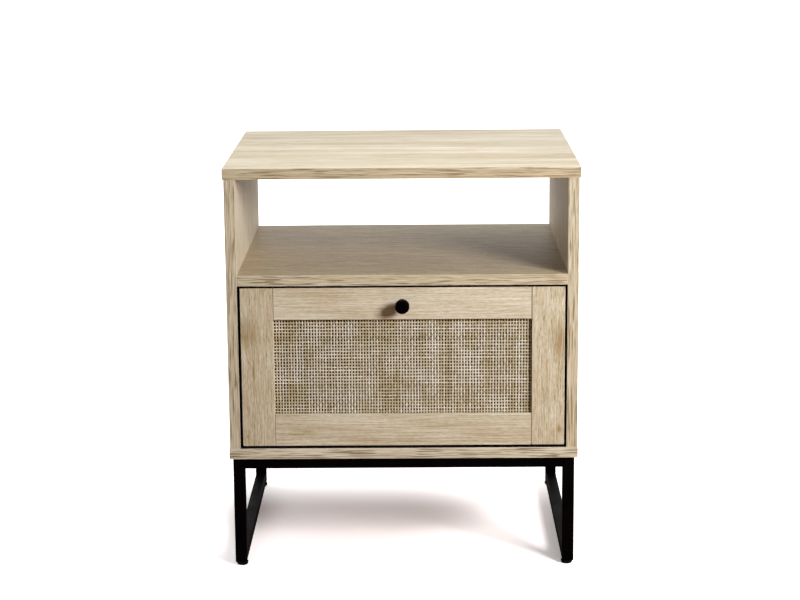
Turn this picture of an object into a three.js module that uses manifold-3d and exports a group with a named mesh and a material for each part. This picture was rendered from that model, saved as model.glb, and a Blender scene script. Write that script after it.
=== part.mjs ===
// Bedside table in light oak board: an open shelf above one inset drawer with a woven front panel,
// standing on a sled base of black square steel tube. Lengths are in millimetres, +Z is up,
// +X is to the viewer's right and the front faces -Y. The origin lies on the floor, in the middle
// of the box around the whole table with its knob.

import * as THREE from 'three';
import { mergeVertices } from 'three/addons/utils/BufferGeometryUtils.js';
import Module from 'manifold-3d';

const wasm = await Module();
wasm.setup();

// Cabinet boards
const topWidth = 480;
const topDepth = 400;
const boardThickness = 15;
const topOverhang = 2; // the top past each side panel
const bottomOverhang = 1; // the bottom past each side panel
const boardSetback = 1; // sides and shelf behind the front and back edges of the top
const openHeight = 131; // clear height of the open compartment
const lowerHeight = 226.5; // clear height of the drawer compartment
const edgeRadius = 0.6;
const edgeSteps = 2;
const backThickness = 4;
const backInset = 10; // back panel in front of the back edges of the sides
const backGroove = 5; // how far the back panel enters each board round it

// Drawer front
const frontThickness = 15;
const frontSetback = 2; // drawer front behind the front edge of the top
const frontSideGap = 3;
const frontTopGap = 1.9;
const frontBottomGap = 3.3;
const frameWidth = 44.5; // stiles and rails
const recessDepth = 6; // woven panel behind the face of the frame
const wovenThickness = 1.6;
const rabbetWidth = 8; // how far the woven panel reaches behind the frame

// Drawer box
const boxThickness = 12;
const boxDepth = 350;
const boxHeight = 150;
const boxLift = 13; // underside of the box above the bottom panel
const boxBottomThickness = 4;
const boxBottomLift = 10; // drawer bottom above the lower edges of the box
const boxGroove = 6; // how far the drawer bottom enters each board round it

// Ball bearing slides, one on each side, 27 mm high
const slideHeight = 27;
const slideThickness = 10; // from side panel to drawer box
const slideSheet = 1;
const slideLength = 350;
const slideFrontGap = 2; // slides behind the drawer front
const slideLift = 60; // middle of the slide above the underside of the box
const slideLip = 0.8; // turned-in lip on the flanges of the cabinet member
const slideFlange = 8; // flange of the cabinet member, from the side panel
const drawerTravel = 260;
const ballDiameter = 3;
const ballPitch = 16;
const ballCount = 6; // in each of the two rows of a cage
const ballSegments = 6;
const ballRings = 4;
const cageSheet = 0.6;
const cageEnd = 3; // cage past the middle of its last ball
const cageFrontGap = 2; // cage to the front end of the slide when the drawer is fully out
const raceGap = 0.3; // ball to flange
const cageWebGap = 0.6; // cage web to either channel

// Knob and its screw
const knobLength = 28;
const knobRadius = 9.6;
const knobBaseRadius = 6;
const knobNeckRadius = 4.6;
const knobBaseHeight = 2;
const knobHeadHeight = 9;
const knobDomeHeight = 2.4;
const knobSides = 28;
const knobCurveSteps = 4;
const screwRadius = 2;
const screwHeadRadius = 4;
const screwHeadHeight = 2.4;
const screwGrip = 10; // thread inside the knob

// Sled base
const tubeSize = 16;
const tubeWall = 1.2;
const tubeRadius = 1.6;
const tubeRadiusSteps = 3;
const legClearHeight = 119; // between floor runner and top bar
const baseSideInset = 4; // base inside the side edges of the bottom panel
const baseFrontInset = 8; // base behind the front edge, and before the back edge
const weldGap = 0.3;

// Adjustable glides under the floor runners
const glideHeight = 5;
const glideRadius = 8;
const glideChamfer = 0.8;
const glideInset = 1.2; // glide nearer the middle than the middle of its tube
const glideStemRadius = 3;
const glideStemLength = 11;
const glideSides = 20;
const weldNutRadius = 5.5;
const weldNutHeight = 5;

// Joining parts
const fitClearance = 0.3;
const dowelRadius = 4;
const dowelInPanel = 10; // length inside the face of a board
const dowelInEdge = 18; // length inside the edge of a board
const dowelChamfer = 1;
const dowelFrontInset = 50;
const shelfDowelFrontInset = 60;
const carcassScrewHeadRadius = 5;
const carcassScrewHeadHeight = 3;
const carcassScrewShankRadius = 3.5;
const carcassScrewThreadRadius = 2.5;
const carcassScrewLength = 50;
const carcassScrewFrontInset = 45;
const baseScrewHeadRadius = 4.4;
const baseScrewHeadHeight = 2.6;
const baseScrewRadius = 2.2;
const baseScrewGrip = 11; // length inside the bottom panel
const baseScrewFrontInset = 100;
const screwPoint = 3;
const camRadius = 6;
const camDepth = 9;
const camFrontInset = 24; // middle of the cam behind the drawer front
const camEndInset = 35; // middle of the cam from the upper or lower edge of the box
const camSlotWidth = 1.2;
const camSlotLength = 7;
const camSlotDepth = 2;
const smallSides = 12;
const cutOverrun = 1; // cuts run this far past a face

// Levels, from the floor up
const runnerZ = glideHeight + tubeSize / 2;
const topBarZ = glideHeight + tubeSize + legClearHeight + tubeSize / 2;
const bottomZ = topBarZ + tubeSize / 2; // underside of the bottom panel
const lowerZ = bottomZ + boardThickness; // floor of the drawer compartment
const shelfZ = lowerZ + lowerHeight; // underside of the shelf
const openZ = shelfZ + boardThickness; // floor of the open compartment
const topZ = openZ + openHeight; // underside of the top

// Places across, each measured from the middle
const sideOuterX = topWidth / 2 - topOverhang;
const sideInnerX = sideOuterX - boardThickness;
const bottomHalfX = sideOuterX + bottomOverhang;
const frontHalfX = sideInnerX - frontSideGap;
const boxOuterX = sideInnerX - slideThickness;
const boxInnerX = boxOuterX - boxThickness;
const baseOuterX = bottomHalfX - baseSideInset;
const baseTubeX = baseOuterX - tubeSize / 2;
const baseInnerX = baseOuterX - tubeSize;

// Places front to back
const knobReach = knobLength - frontSetback; // knob past the front edge of the top
const frontY = knobReach - (topDepth + knobReach) / 2; // front edge of the top
const backY = frontY + topDepth;
const drawerFrontY = frontY + frontSetback;
const boxFrontY = drawerFrontY + frontThickness;
const slideFrontY = boxFrontY + slideFrontGap;
const baseFrontY = frontY + baseFrontInset;
const baseBackY = backY - baseFrontInset;

// Places of the drawer front and box, up
const frontLowZ = lowerZ + frontBottomGap;
const frontHighZ = shelfZ - frontTopGap;
const boxLowZ = lowerZ + boxLift;
const slideZ = boxLowZ + slideLift;
const knobZ = frontHighZ - frameWidth / 2;

const finishes = {
  oak: { color: 0xcab893, roughness: 0.55, metalness: 0 },
  boxBoard: { color: 0xd6c8a8, roughness: 0.6, metalness: 0 },
  hardboard: { color: 0xa88a63, roughness: 0.8, metalness: 0 },
  weave: { color: 0xa9997c, roughness: 0.85, metalness: 0 },
  blackSteel: { color: 0x17141a, roughness: 0.5, metalness: 0.3 },
  zinc: { color: 0xb9bcc0, roughness: 0.35, metalness: 0.9 },
  blackPlastic: { color: 0x1b1b1c, roughness: 0.6, metalness: 0 },
  beech: { color: 0xd9b98c, roughness: 0.7, metalness: 0 },
};

const sides = [['left', -1], ['right', 1]];
const ends = [['front', 1], ['back', -1]];

const table = new THREE.Group();

// Solid modelling helpers

function toSolid(geometry) {
  const bare = geometry.clone();
  bare.deleteAttribute('normal');
  bare.deleteAttribute('uv');
  const merged = mergeVertices(bare);
  return new wasm.Manifold(new wasm.Mesh({
    numProp: 3,
    vertProperties: new Float32Array(merged.attributes.position.array),
    triVerts: new Uint32Array(merged.index.array),
  }));
}

function toGeometry(solid) {
  const { vertProperties, triVerts } = solid.getMesh();
  const geometry = new THREE.BufferGeometry();
  geometry.setAttribute('position', new THREE.BufferAttribute(new Float32Array(vertProperties), 3));
  geometry.setIndex(new THREE.BufferAttribute(new Uint32Array(triVerts), 1));
  return geometry;
}

// Cutters are geometries placed in the table's own frame; the mesh may be turned.
function carve(mesh, cutters) {
  mesh.updateMatrix();
  const toMesh = mesh.matrix.clone().invert();
  let solid = toSolid(mesh.geometry);
  for (const cutter of cutters) {
    solid = solid.subtract(toSolid(cutter.clone().applyMatrix4(toMesh)));
  }
  mesh.geometry = toGeometry(solid);
  return mesh;
}

function place(name, geometry, finish, position) {
  const material = new THREE.MeshStandardMaterial(finishes[finish]);
  const mesh = new THREE.Mesh(geometry, material);
  mesh.name = name;
  mesh.position.set(...position);
  table.add(mesh);
  return mesh;
}

// Corner points of a rectangle with round corners, anticlockwise.
function roundedCorners(width, height, radius, steps) {
  const corners = [[1, 1], [-1, 1], [-1, -1], [1, -1]];
  return corners.flatMap(([signX, signY], index) => {
    const middleX = signX * (width / 2 - radius);
    const middleY = signY * (height / 2 - radius);
    return Array.from({ length: steps + 1 }, (_, step) => {
      const angle = (index + step / steps) * Math.PI / 2;
      return new THREE.Vector2(
        middleX + radius * Math.cos(angle), middleY + radius * Math.sin(angle));
    });
  });
}

// A board with every edge eased, centred on its own origin.
function easedBoard(width, depth, height) {
  const outline = new THREE.Shape(roundedCorners(width, depth, edgeRadius, edgeSteps));
  const geometry = new THREE.ExtrudeGeometry(outline, {
    depth: height - 2 * edgeRadius,
    bevelThickness: edgeRadius,
    bevelSize: edgeRadius,
    bevelOffset: -edgeRadius,
    bevelSegments: edgeSteps,
  });
  return geometry.translate(0, 0, edgeRadius - height / 2);
}

function sizeBetween(low, high) {
  return high.map((value, axis) => value - low[axis]);
}

function middleBetween(low, high) {
  return high.map((value, axis) => (value + low[axis]) / 2);
}

function boxBetween(low, high, grow = 0) {
  const size = sizeBetween(low, high).map((length) => length + 2 * grow);
  return new THREE.BoxGeometry(...size).translate(...middleBetween(low, high));
}

// A board lies between two opposite corners and is cut by what it takes.
function board(name, finish, low, high, cutters = []) {
  const mesh = place(name, easedBoard(...sizeBetween(low, high)), finish, middleBetween(low, high));
  return cutters.length ? carve(mesh, cutters) : mesh;
}

// A thin sheet keeps its sharp edges.
function sheet(name, finish, low, high) {
  place(name, new THREE.BoxGeometry(...sizeBetween(low, high)), finish, middleBetween(low, high));
}

// A round cutter along X, Y or Z between two points on its axis.
function roundCutter(radius, from, to) {
  const start = new THREE.Vector3(...from);
  const along = new THREE.Vector3(...to).sub(start);
  const geometry = new THREE.CylinderGeometry(radius, radius, along.length(), smallSides);
  const turn = new THREE.Quaternion().setFromUnitVectors(
    new THREE.Vector3(0, 1, 0), along.clone().normalize());
  geometry.applyQuaternion(turn);
  return geometry.translate(...start.addScaledVector(along, 1 / 2).toArray());
}

// A turned part: its profile starts and ends on the axis, and local +Y is its axis.
function turned(profile, segments) {
  return new THREE.LatheGeometry(profile.map(([radius, along]) => new THREE.Vector2(radius, along)), segments);
}

// Cabinet: where its dowels and screws lie, then the boards cut to take them

function dowelPlaces() {
  const across = sideInnerX + boardThickness / 2;
  const shelfMidZ = shelfZ + boardThickness / 2;
  return ends.flatMap(([end, inward]) => sides.flatMap(([side, sign]) => {
    const edgeY = end === 'front' ? frontY : backY;
    const topY = edgeY + inward * dowelFrontInset;
    const shelfY = edgeY + inward * shelfDowelFrontInset;
    return [
      {
        name: `top_dowel_${end}_${side}`,
        from: [sign * across, topY, topZ - dowelInEdge],
        to: [sign * across, topY, topZ + dowelInPanel],
      },
      {
        name: `shelf_dowel_${end}_${side}`,
        from: [sign * (sideInnerX - dowelInEdge), shelfY, shelfMidZ],
        to: [sign * (sideInnerX + dowelInPanel), shelfY, shelfMidZ],
      },
    ];
  }));
}

function dowelCutter({ from, to }) {
  const along = new THREE.Vector3(...to).sub(new THREE.Vector3(...from)).setLength(fitClearance);
  const low = new THREE.Vector3(...from).sub(along);
  const high = new THREE.Vector3(...to).add(along);
  return roundCutter(dowelRadius + fitClearance, low.toArray(), high.toArray());
}

function addDowel({ name, from, to }) {
  const length = dowelInEdge + dowelInPanel;
  const geometry = turned([
    [0, 0],
    [dowelRadius - dowelChamfer, 0],
    [dowelRadius, dowelChamfer],
    [dowelRadius, length - dowelChamfer],
    [dowelRadius - dowelChamfer, length],
    [0, length],
  ], smallSides);
  const mesh = place(name, geometry, 'beech', from);
  const along = new THREE.Vector3(...to).sub(mesh.position).normalize();
  mesh.quaternion.setFromUnitVectors(new THREE.Vector3(0, 1, 0), along);
}

function carcassScrewPlaces() {
  const across = sideInnerX + boardThickness / 2;
  return ends.flatMap(([end, inward]) => sides.map(([side, sign]) => {
    const edgeY = end === 'front' ? frontY : backY;
    return {
      name: `carcass_screw_${end}_${side}`,
      at: [sign * across, edgeY + inward * carcassScrewFrontInset, bottomZ + fitClearance],
    };
  }));
}

// The same stepped profile shapes the screw and, grown by its clearance, the hole for it.
function carcassScrewProfile(grow) {
  const neckZ = boardThickness - fitClearance + grow;
  return [
    [0, -grow],
    [carcassScrewHeadRadius + grow, -grow],
    [carcassScrewHeadRadius + grow, carcassScrewHeadHeight + grow],
    [carcassScrewShankRadius + grow, carcassScrewHeadHeight + grow],
    [carcassScrewShankRadius + grow, neckZ],
    [carcassScrewThreadRadius + grow, neckZ],
    [carcassScrewThreadRadius + grow, carcassScrewLength - screwPoint + grow],
    [0, carcassScrewLength + grow],
  ];
}

function screwUp(profile, at) {
  return turned(profile, smallSides).rotateX(Math.PI / 2).translate(...at);
}

function addScrewUp(name, profile, at, finish) {
  const mesh = place(name, turned(profile, smallSides), finish, at);
  mesh.rotation.x = Math.PI / 2;
}

function baseScrewPlaces() {
  return ends.flatMap(([end, inward]) => sides.map(([side, sign]) => {
    const edgeY = end === 'front' ? frontY : backY;
    return {
      name: `base_screw_${end}_${side}`,
      at: [sign * baseTubeX, edgeY + inward * baseScrewFrontInset, topBarZ - tubeSize / 2],
    };
  }));
}

// Measured from the underside of the top bar, which the head meets.
function baseScrewProfile(grow) {
  const tipZ = tubeSize + baseScrewGrip;
  return [
    [0, -baseScrewHeadHeight - fitClearance],
    [baseScrewHeadRadius, -baseScrewHeadHeight - fitClearance],
    [baseScrewHeadRadius, -fitClearance],
    [baseScrewRadius + grow, -fitClearance],
    [baseScrewRadius + grow, tipZ - screwPoint + grow],
    [0, tipZ + grow],
  ];
}

function addCabinet() {
  const dowels = dowelPlaces();
  const dowelCuts = dowels.map(dowelCutter);
  const carcassScrews = carcassScrewPlaces();
  const screwCuts = carcassScrews.map(({ at }) => screwUp(carcassScrewProfile(fitClearance), at));
  const baseScrewCuts = baseScrewPlaces().map(({ at }) => screwUp(baseScrewProfile(fitClearance), at));

  const backLow = [-sideInnerX - backGroove, backY - backInset - backThickness, lowerZ - backGroove];
  const backHigh = [sideInnerX + backGroove, backY - backInset, shelfZ + backGroove];
  const backCut = boxBetween(backLow, backHigh, fitClearance);

  const boardFrontY = frontY + boardSetback;
  const boardBackY = backY - boardSetback;

  board('top_panel', 'oak', [-topWidth / 2, frontY, topZ],
    [topWidth / 2, backY, topZ + boardThickness], dowelCuts);
  board('bottom_panel', 'oak', [-bottomHalfX, frontY, bottomZ],
    [bottomHalfX, backY, lowerZ], [backCut, ...screwCuts, ...baseScrewCuts]);
  board('middle_shelf', 'oak', [-sideInnerX, boardFrontY, shelfZ],
    [sideInnerX, boardBackY, openZ], [backCut, ...dowelCuts]);
  for (const [side, sign] of sides) {
    const faces = [sign * sideInnerX, sign * sideOuterX];
    board(`${side}_side_panel`, 'oak', [Math.min(...faces), boardFrontY, lowerZ],
      [Math.max(...faces), boardBackY, topZ], [backCut, ...dowelCuts, ...screwCuts]);
  }
  sheet('back_panel', 'hardboard', backLow, backHigh);

  dowels.forEach(addDowel);
  for (const { name, at } of carcassScrews) {
    addScrewUp(name, carcassScrewProfile(0), at, 'zinc');
  }
}

// Drawer front: a frame of two stiles and two rails round the woven panel and its backing

function addDrawerFront(boxBottomCut, knobScrewCut) {
  const openHalfX = frontHalfX - frameWidth;
  const openLowZ = frontLowZ + frameWidth;
  const openHighZ = frontHighZ - frameWidth;
  const wovenY = drawerFrontY + recessDepth;
  const backingY = wovenY + wovenThickness;
  const panelHalfX = openHalfX + rabbetWidth;
  const panelLowZ = openLowZ - rabbetWidth;
  const panelHighZ = openHighZ + rabbetWidth;
  const rabbet = boxBetween([-panelHalfX, wovenY, panelLowZ],
    [panelHalfX, boxFrontY + cutOverrun, panelHighZ], fitClearance);

  for (const [side, sign] of sides) {
    const edges = [sign * openHalfX, sign * frontHalfX];
    board(`drawer_${side}_stile`, 'oak', [Math.min(...edges), drawerFrontY, frontLowZ],
      [Math.max(...edges), boxFrontY, frontHighZ], [rabbet, boxBottomCut]);
  }
  board('drawer_top_rail', 'oak', [-openHalfX, drawerFrontY, openHighZ],
    [openHalfX, boxFrontY, frontHighZ], [rabbet, knobScrewCut]);
  board('drawer_bottom_rail', 'oak', [-openHalfX, drawerFrontY, frontLowZ],
    [openHalfX, boxFrontY, openLowZ], [rabbet, boxBottomCut]);
  sheet('woven_panel', 'weave', [-panelHalfX, wovenY, panelLowZ],
    [panelHalfX, backingY, panelHighZ]);
  sheet('woven_backing', 'hardboard', [-panelHalfX, backingY + fitClearance, panelLowZ],
    [panelHalfX, boxFrontY, panelHighZ]);
}

// Knob: a round base, a waisted neck and a cylindrical head with a low dome

function addKnob() {
  const headLow = knobLength - knobDomeHeight - knobHeadHeight;
  const neckEnd = new THREE.Vector2(knobRadius, headLow);
  const neckStart = new THREE.Vector2(knobBaseRadius, knobBaseHeight);
  const waist = new THREE.Vector2(knobNeckRadius - (knobBaseRadius - knobNeckRadius), headLow);
  const neck = new THREE.QuadraticBezierCurve(neckStart, waist, neckEnd).getPoints(knobCurveSteps);
  const dome = Array.from({ length: knobCurveSteps + 1 }, (_, step) => {
    const angle = step / knobCurveSteps * Math.PI / 2;
    return [
      knobRadius * Math.cos(angle),
      knobLength - knobDomeHeight + knobDomeHeight * Math.sin(angle),
    ];
  });
  dome[knobCurveSteps][0] = 0;
  const holeRadius = screwRadius + fitClearance;
  const profile = [
    [0, screwGrip + fitClearance],
    [holeRadius, screwGrip + fitClearance],
    [holeRadius, 0],
    [knobBaseRadius, 0],
    ...neck.map((point) => point.toArray()),
    ...dome,
  ];
  const knob = place('knob', turned(profile, knobSides), 'blackSteel', [0, drawerFrontY, knobZ]);
  knob.rotation.z = Math.PI;
}

function knobScrewCutter() {
  return roundCutter(screwRadius + fitClearance,
    [0, drawerFrontY - cutOverrun, knobZ], [0, boxFrontY + cutOverrun, knobZ]);
}

function addKnobScrew() {
  const tip = frontThickness + screwGrip;
  const geometry = turned([
    [0, -screwHeadHeight - fitClearance],
    [screwHeadRadius, -screwHeadHeight - fitClearance],
    [screwHeadRadius, -fitClearance],
    [screwRadius, -fitClearance],
    [screwRadius, tip],
    [0, tip],
  ], smallSides);
  const screw = place('knob_screw', geometry, 'zinc', [0, boxFrontY, knobZ]);
  screw.rotation.z = Math.PI;
}

// Drawer box, its cam locks and its bottom

function camPlaces() {
  return sides.flatMap(([side, sign]) => [
    { level: 'upper', z: boxLowZ + boxHeight - camEndInset },
    { level: 'lower', z: boxLowZ + camEndInset },
  ].map(({ level, z }) => ({
    name: `drawer_cam_${level}_${side}`, sign, at: [sign * boxInnerX, boxFrontY + camFrontInset, z],
  })));
}

function camCutter({ sign, at }) {
  const [x, y, z] = at;
  return roundCutter(camRadius + fitClearance,
    [x - sign * cutOverrun, y, z], [x + sign * (camDepth + fitClearance), y, z]);
}

// A cam lock's round housing with a cross slot, flush with the inner face of the box.
function addCam({ name, sign, at }) {
  const geometry = new THREE.CylinderGeometry(camRadius, camRadius, camDepth, smallSides)
    .rotateZ(Math.PI / 2)
    .translate(sign * camDepth / 2, 0, 0);
  const cam = place(name, geometry, 'zinc', at);
  const [x, y, z] = at;
  const slot = (halfY, halfZ) => boxBetween(
    [x - camSlotDepth, y - halfY, z - halfZ], [x + camSlotDepth, y + halfY, z + halfZ]);
  carve(cam, [slot(camSlotLength / 2, camSlotWidth / 2), slot(camSlotWidth / 2, camSlotLength / 2)]);
}

function addDrawerBox() {
  const boxBackY = boxFrontY + boxDepth;
  const boxHighZ = boxLowZ + boxHeight;
  const bottomLow = [-boxInnerX - boxGroove, boxFrontY - boxGroove, boxLowZ + boxBottomLift];
  const bottomHigh = [boxInnerX + boxGroove, boxBackY - boxThickness + boxGroove,
    boxLowZ + boxBottomLift + boxBottomThickness];
  const bottomCut = boxBetween(bottomLow, bottomHigh, fitClearance);
  const cams = camPlaces();
  const camCuts = cams.map(camCutter);

  for (const [side, sign] of sides) {
    const faces = [sign * boxInnerX, sign * boxOuterX];
    board(`drawer_${side}_side`, 'boxBoard', [Math.min(...faces), boxFrontY, boxLowZ],
      [Math.max(...faces), boxBackY, boxHighZ], [bottomCut, ...camCuts]);
  }
  board('drawer_back', 'boxBoard', [-boxInnerX, boxBackY - boxThickness, boxLowZ],
    [boxInnerX, boxBackY, boxHighZ], [bottomCut]);
  sheet('drawer_bottom', 'hardboard', bottomLow, bottomHigh);
  cams.forEach(addCam);

  addDrawerFront(bottomCut, knobScrewCutter());
  addKnob();
  addKnobScrew();
}

// Slides: a channel on the cabinet, a smaller one on the drawer, and a caged row of balls
// above and below between them. Sections are drawn from the side panel towards the drawer.

function channelAlongY(name, outline, sign) {
  const points = outline.map(([inward, up]) => new THREE.Vector2(-sign * inward, up));
  const geometry = new THREE.ExtrudeGeometry(new THREE.Shape(points), {
    depth: slideLength, bevelEnabled: false,
  });
  const mesh = place(name, geometry, 'zinc', [sign * sideInnerX, slideFrontY + slideLength, slideZ]);
  mesh.rotation.x = Math.PI / 2;
}

function mirroredUp(outline) {
  return [...outline, ...outline.map(([inward, up]) => [inward, -up]).reverse()];
}

function addSlides() {
  const flangeZ = slideHeight / 2 - slideSheet; // inner face of the cabinet member's flange
  const ballZ = flangeZ - raceGap - ballDiameter / 2;
  const innerZ = ballZ - ballDiameter / 2 - raceGap; // outer face of the drawer member's flange
  const cageX = slideSheet + cageWebGap;
  const innerX = cageX + cageSheet + cageWebGap; // tips of the drawer member's flanges
  const cabinetSection = mirroredUp([
    [0, slideHeight / 2],
    [slideFlange, slideHeight / 2],
    [slideFlange, flangeZ - slideLip],
    [slideFlange - slideSheet, flangeZ - slideLip],
    [slideFlange - slideSheet, flangeZ],
    [slideSheet, flangeZ],
  ]);
  const drawerSection = mirroredUp([
    [slideThickness, innerZ],
    [innerX, innerZ],
    [innerX, innerZ - slideSheet],
    [slideThickness - slideSheet, innerZ - slideSheet],
  ]);
  for (const [side, sign] of sides) {
    channelAlongY(`${side}_cabinet_slide`, cabinetSection, sign);
    channelAlongY(`${side}_drawer_slide`, drawerSection, sign);
    addBallCage(side, sign, cageX, ballZ);
  }
}

function addBallCage(side, sign, cageX, ballZ) {
  const cageLength = (ballCount - 1) * ballPitch + 2 * cageEnd;
  const cageY = slideFrontY + cageFrontGap + drawerTravel / 2;
  const ballX = cageX + cageSheet + ballDiameter / 2 + cageWebGap;
  const armX = ballX + ballDiameter / 2 - cageSheet;
  const strip = (fromX, toX, low, high) => {
    const faces = [-sign * fromX, -sign * toX];
    return boxBetween([Math.min(...faces), 0, low], [Math.max(...faces), cageLength, high]);
  };
  const halfArm = cageSheet / 2;
  let solid = toSolid(strip(cageX, cageX + cageSheet, -ballZ - halfArm, ballZ + halfArm));
  for (const up of [1, -1]) {
    solid = solid.add(toSolid(strip(cageX, armX, up * ballZ - halfArm, up * ballZ + halfArm)));
    for (let index = 0; index < ballCount; index += 1) {
      const ball = new THREE.SphereGeometry(ballDiameter / 2, ballSegments, ballRings)
        .translate(-sign * ballX, cageEnd + index * ballPitch, up * ballZ);
      solid = solid.add(toSolid(ball));
    }
  }
  place(`${side}_ball_cage`, toGeometry(solid), 'zinc', [sign * sideInnerX, cageY, slideZ]);
}

// Sled base: two closed loops of tube with mitred corners, joined by a front and a back rail

function tube(length) {
  const outline = new THREE.Shape(roundedCorners(tubeSize, tubeSize, tubeRadius, tubeRadiusSteps));
  const inside = tubeSize - 2 * tubeWall;
  outline.holes.push(new THREE.Path(roundedCorners(inside, inside, tubeWall / 2, 1)));
  return new THREE.ExtrudeGeometry(outline, { depth: length, bevelEnabled: false });
}

// Both ends slope at 45 degrees; outer is the side, in local Y, on which the tube is longest.
function mitredTube(length, outer) {
  const geometry = tube(length);
  const position = geometry.attributes.position;
  const halfGap = weldGap * Math.SQRT1_2;
  for (let index = 0; index < position.count; index += 1) {
    const cutBack = tubeSize / 2 - outer * position.getY(index) + halfGap;
    const atEnd = position.getZ(index) > length / 2;
    position.setZ(index, atEnd ? length - cutBack : cutBack);
  }
  return geometry;
}

function glidePlaces() {
  return ends.flatMap(([end, inward]) => sides.map(([side, sign]) => {
    const edgeY = end === 'front' ? baseFrontY : baseBackY;
    return {
      name: `${end}_${side}_glide`,
      at: [sign * (baseTubeX - glideInset), edgeY + inward * tubeSize / 2, 0],
    };
  }));
}

// A floor runner with a nut welded inside over each glide's hole.
function addRunner(side, sign, glides) {
  const length = baseBackY - baseFrontY;
  const runner = place(`${side}_floor_runner`, mitredTube(length, 1), 'blackSteel',
    [sign * baseTubeX, baseFrontY, runnerZ]);
  runner.rotation.x = -Math.PI / 2;
  runner.updateMatrix();
  const toRunner = runner.matrix.clone().invert();
  let solid = toSolid(runner.geometry);
  for (const { at } of glides.filter(({ at: [x] }) => x * sign > 0)) {
    const [x, y] = at;
    const nutBase = glideHeight + tubeWall / 2;
    const nut = roundCutter(weldNutRadius,
      [x, y, nutBase], [x, y, glideHeight + tubeWall + weldNutHeight]);
    solid = solid.add(toSolid(nut.applyMatrix4(toRunner)));
  }
  runner.geometry = toGeometry(solid);
  const holes = glides.map(({ at: [x, y] }) => roundCutter(glideStemRadius + fitClearance,
    [x, y, glideHeight - cutOverrun], [x, y, glideHeight + tubeWall + weldNutHeight + cutOverrun]));
  carve(runner, holes);
}

function addGlide({ name, at }) {
  const top = glideHeight - fitClearance;
  const glide = place(name, turned([
    [0, 0],
    [glideRadius - glideChamfer, 0],
    [glideRadius, glideChamfer],
    [glideRadius, top],
    [glideStemRadius, top],
    [glideStemRadius, top + glideStemLength],
    [0, top + glideStemLength],
  ], glideSides), 'blackPlastic', at);
  glide.rotation.x = Math.PI / 2;
}

function addBase() {
  const glides = glidePlaces();
  const screws = baseScrewPlaces();
  const screwCuts = screws.map(({ at }) => screwUp(baseScrewProfile(fitClearance), at));
  const loopDepth = baseBackY - baseFrontY;
  const loopHeight = bottomZ - glideHeight;

  for (const [side, sign] of sides) {
    addRunner(side, sign, glides);
    const topBar = place(`${side}_top_bar`, mitredTube(loopDepth, -1), 'blackSteel',
      [sign * baseTubeX, baseFrontY, topBarZ]);
    topBar.rotation.x = -Math.PI / 2;
    carve(topBar, screwCuts);
    for (const [end, inward] of ends) {
      const edgeY = end === 'front' ? baseFrontY : baseBackY;
      place(`${end}_${side}_leg`, mitredTube(loopHeight, -inward), 'blackSteel',
        [sign * baseTubeX, edgeY + inward * tubeSize / 2, glideHeight]);
    }
  }
  for (const [end, inward] of ends) {
    const edgeY = end === 'front' ? baseFrontY : baseBackY;
    const rail = place(`${end}_cross_rail`, tube(2 * baseInnerX), 'blackSteel',
      [-baseInnerX, edgeY + inward * tubeSize / 2, topBarZ]);
    rail.rotation.y = Math.PI / 2;
  }
  glides.forEach(addGlide);
  for (const { name, at } of screws) {
    addScrewUp(name, baseScrewProfile(0), at, 'zinc');
  }
}

addCabinet();
addDrawerBox();
addSlides();
addBase();

export default table;
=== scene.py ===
"""Looks of a bedside table with an open shelf and one woven drawer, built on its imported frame."""

import logging
import math
import random
from collections.abc import Iterable, Mapping, Sequence
from dataclasses import dataclass, field
from enum import Enum

import bmesh
import bpy
from bmesh.types import BMesh
from bpy.types import Material, Mesh, Node, NodeSocket, Object, World
from mathutils import Matrix, Vector


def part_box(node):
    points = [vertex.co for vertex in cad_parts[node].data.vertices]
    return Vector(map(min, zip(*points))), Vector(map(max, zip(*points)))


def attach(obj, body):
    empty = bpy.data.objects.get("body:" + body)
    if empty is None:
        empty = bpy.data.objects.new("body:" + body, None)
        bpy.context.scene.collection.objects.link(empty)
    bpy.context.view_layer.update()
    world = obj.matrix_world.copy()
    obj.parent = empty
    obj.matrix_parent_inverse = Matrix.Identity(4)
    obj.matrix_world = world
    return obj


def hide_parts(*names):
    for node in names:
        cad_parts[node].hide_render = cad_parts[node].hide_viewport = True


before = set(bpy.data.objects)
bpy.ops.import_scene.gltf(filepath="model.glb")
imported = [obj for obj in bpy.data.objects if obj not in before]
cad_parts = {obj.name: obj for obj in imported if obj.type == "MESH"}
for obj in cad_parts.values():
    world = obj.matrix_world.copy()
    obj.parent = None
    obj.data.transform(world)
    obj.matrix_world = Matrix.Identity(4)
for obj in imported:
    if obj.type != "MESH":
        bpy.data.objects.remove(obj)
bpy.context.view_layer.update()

LOG = logging.getLogger("bedside_table")

MM = 0.001
MM_PER_METRE = 1000.0
FULL_TURN = 2 * math.pi
HALF_TURN = math.pi
QUARTER_TURN = math.pi / 2
MERGE_DISTANCE = 0.001 * MM
ROUNDING_SEGMENTS = 3
TINT = "tint"
# Nearly all of a noise lies between these two.
NOISE_LOW, NOISE_HIGH = 0.3, 0.7
# Numbers of a Mix node's inputs and outputs, whose names are shared.
VECTOR_A, VECTOR_B, COLOUR_A, COLOUR_B = 4, 5, 6, 7
VECTOR_OUT, COLOUR_OUT = 1, 2

Colour = tuple[float, float, float, float]
Triple = tuple[float, float, float]
Span = tuple[float, float]
Stops = tuple[tuple[float, str], ...]
# Radius, height and rounding of each corner.
Profile = Sequence[tuple[float, float, float]]
# What feeds an input: a node by its first output, an output, or a plain value.
Source = Node | NodeSocket | float
Inputs = Mapping[str | int, object]


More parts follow.
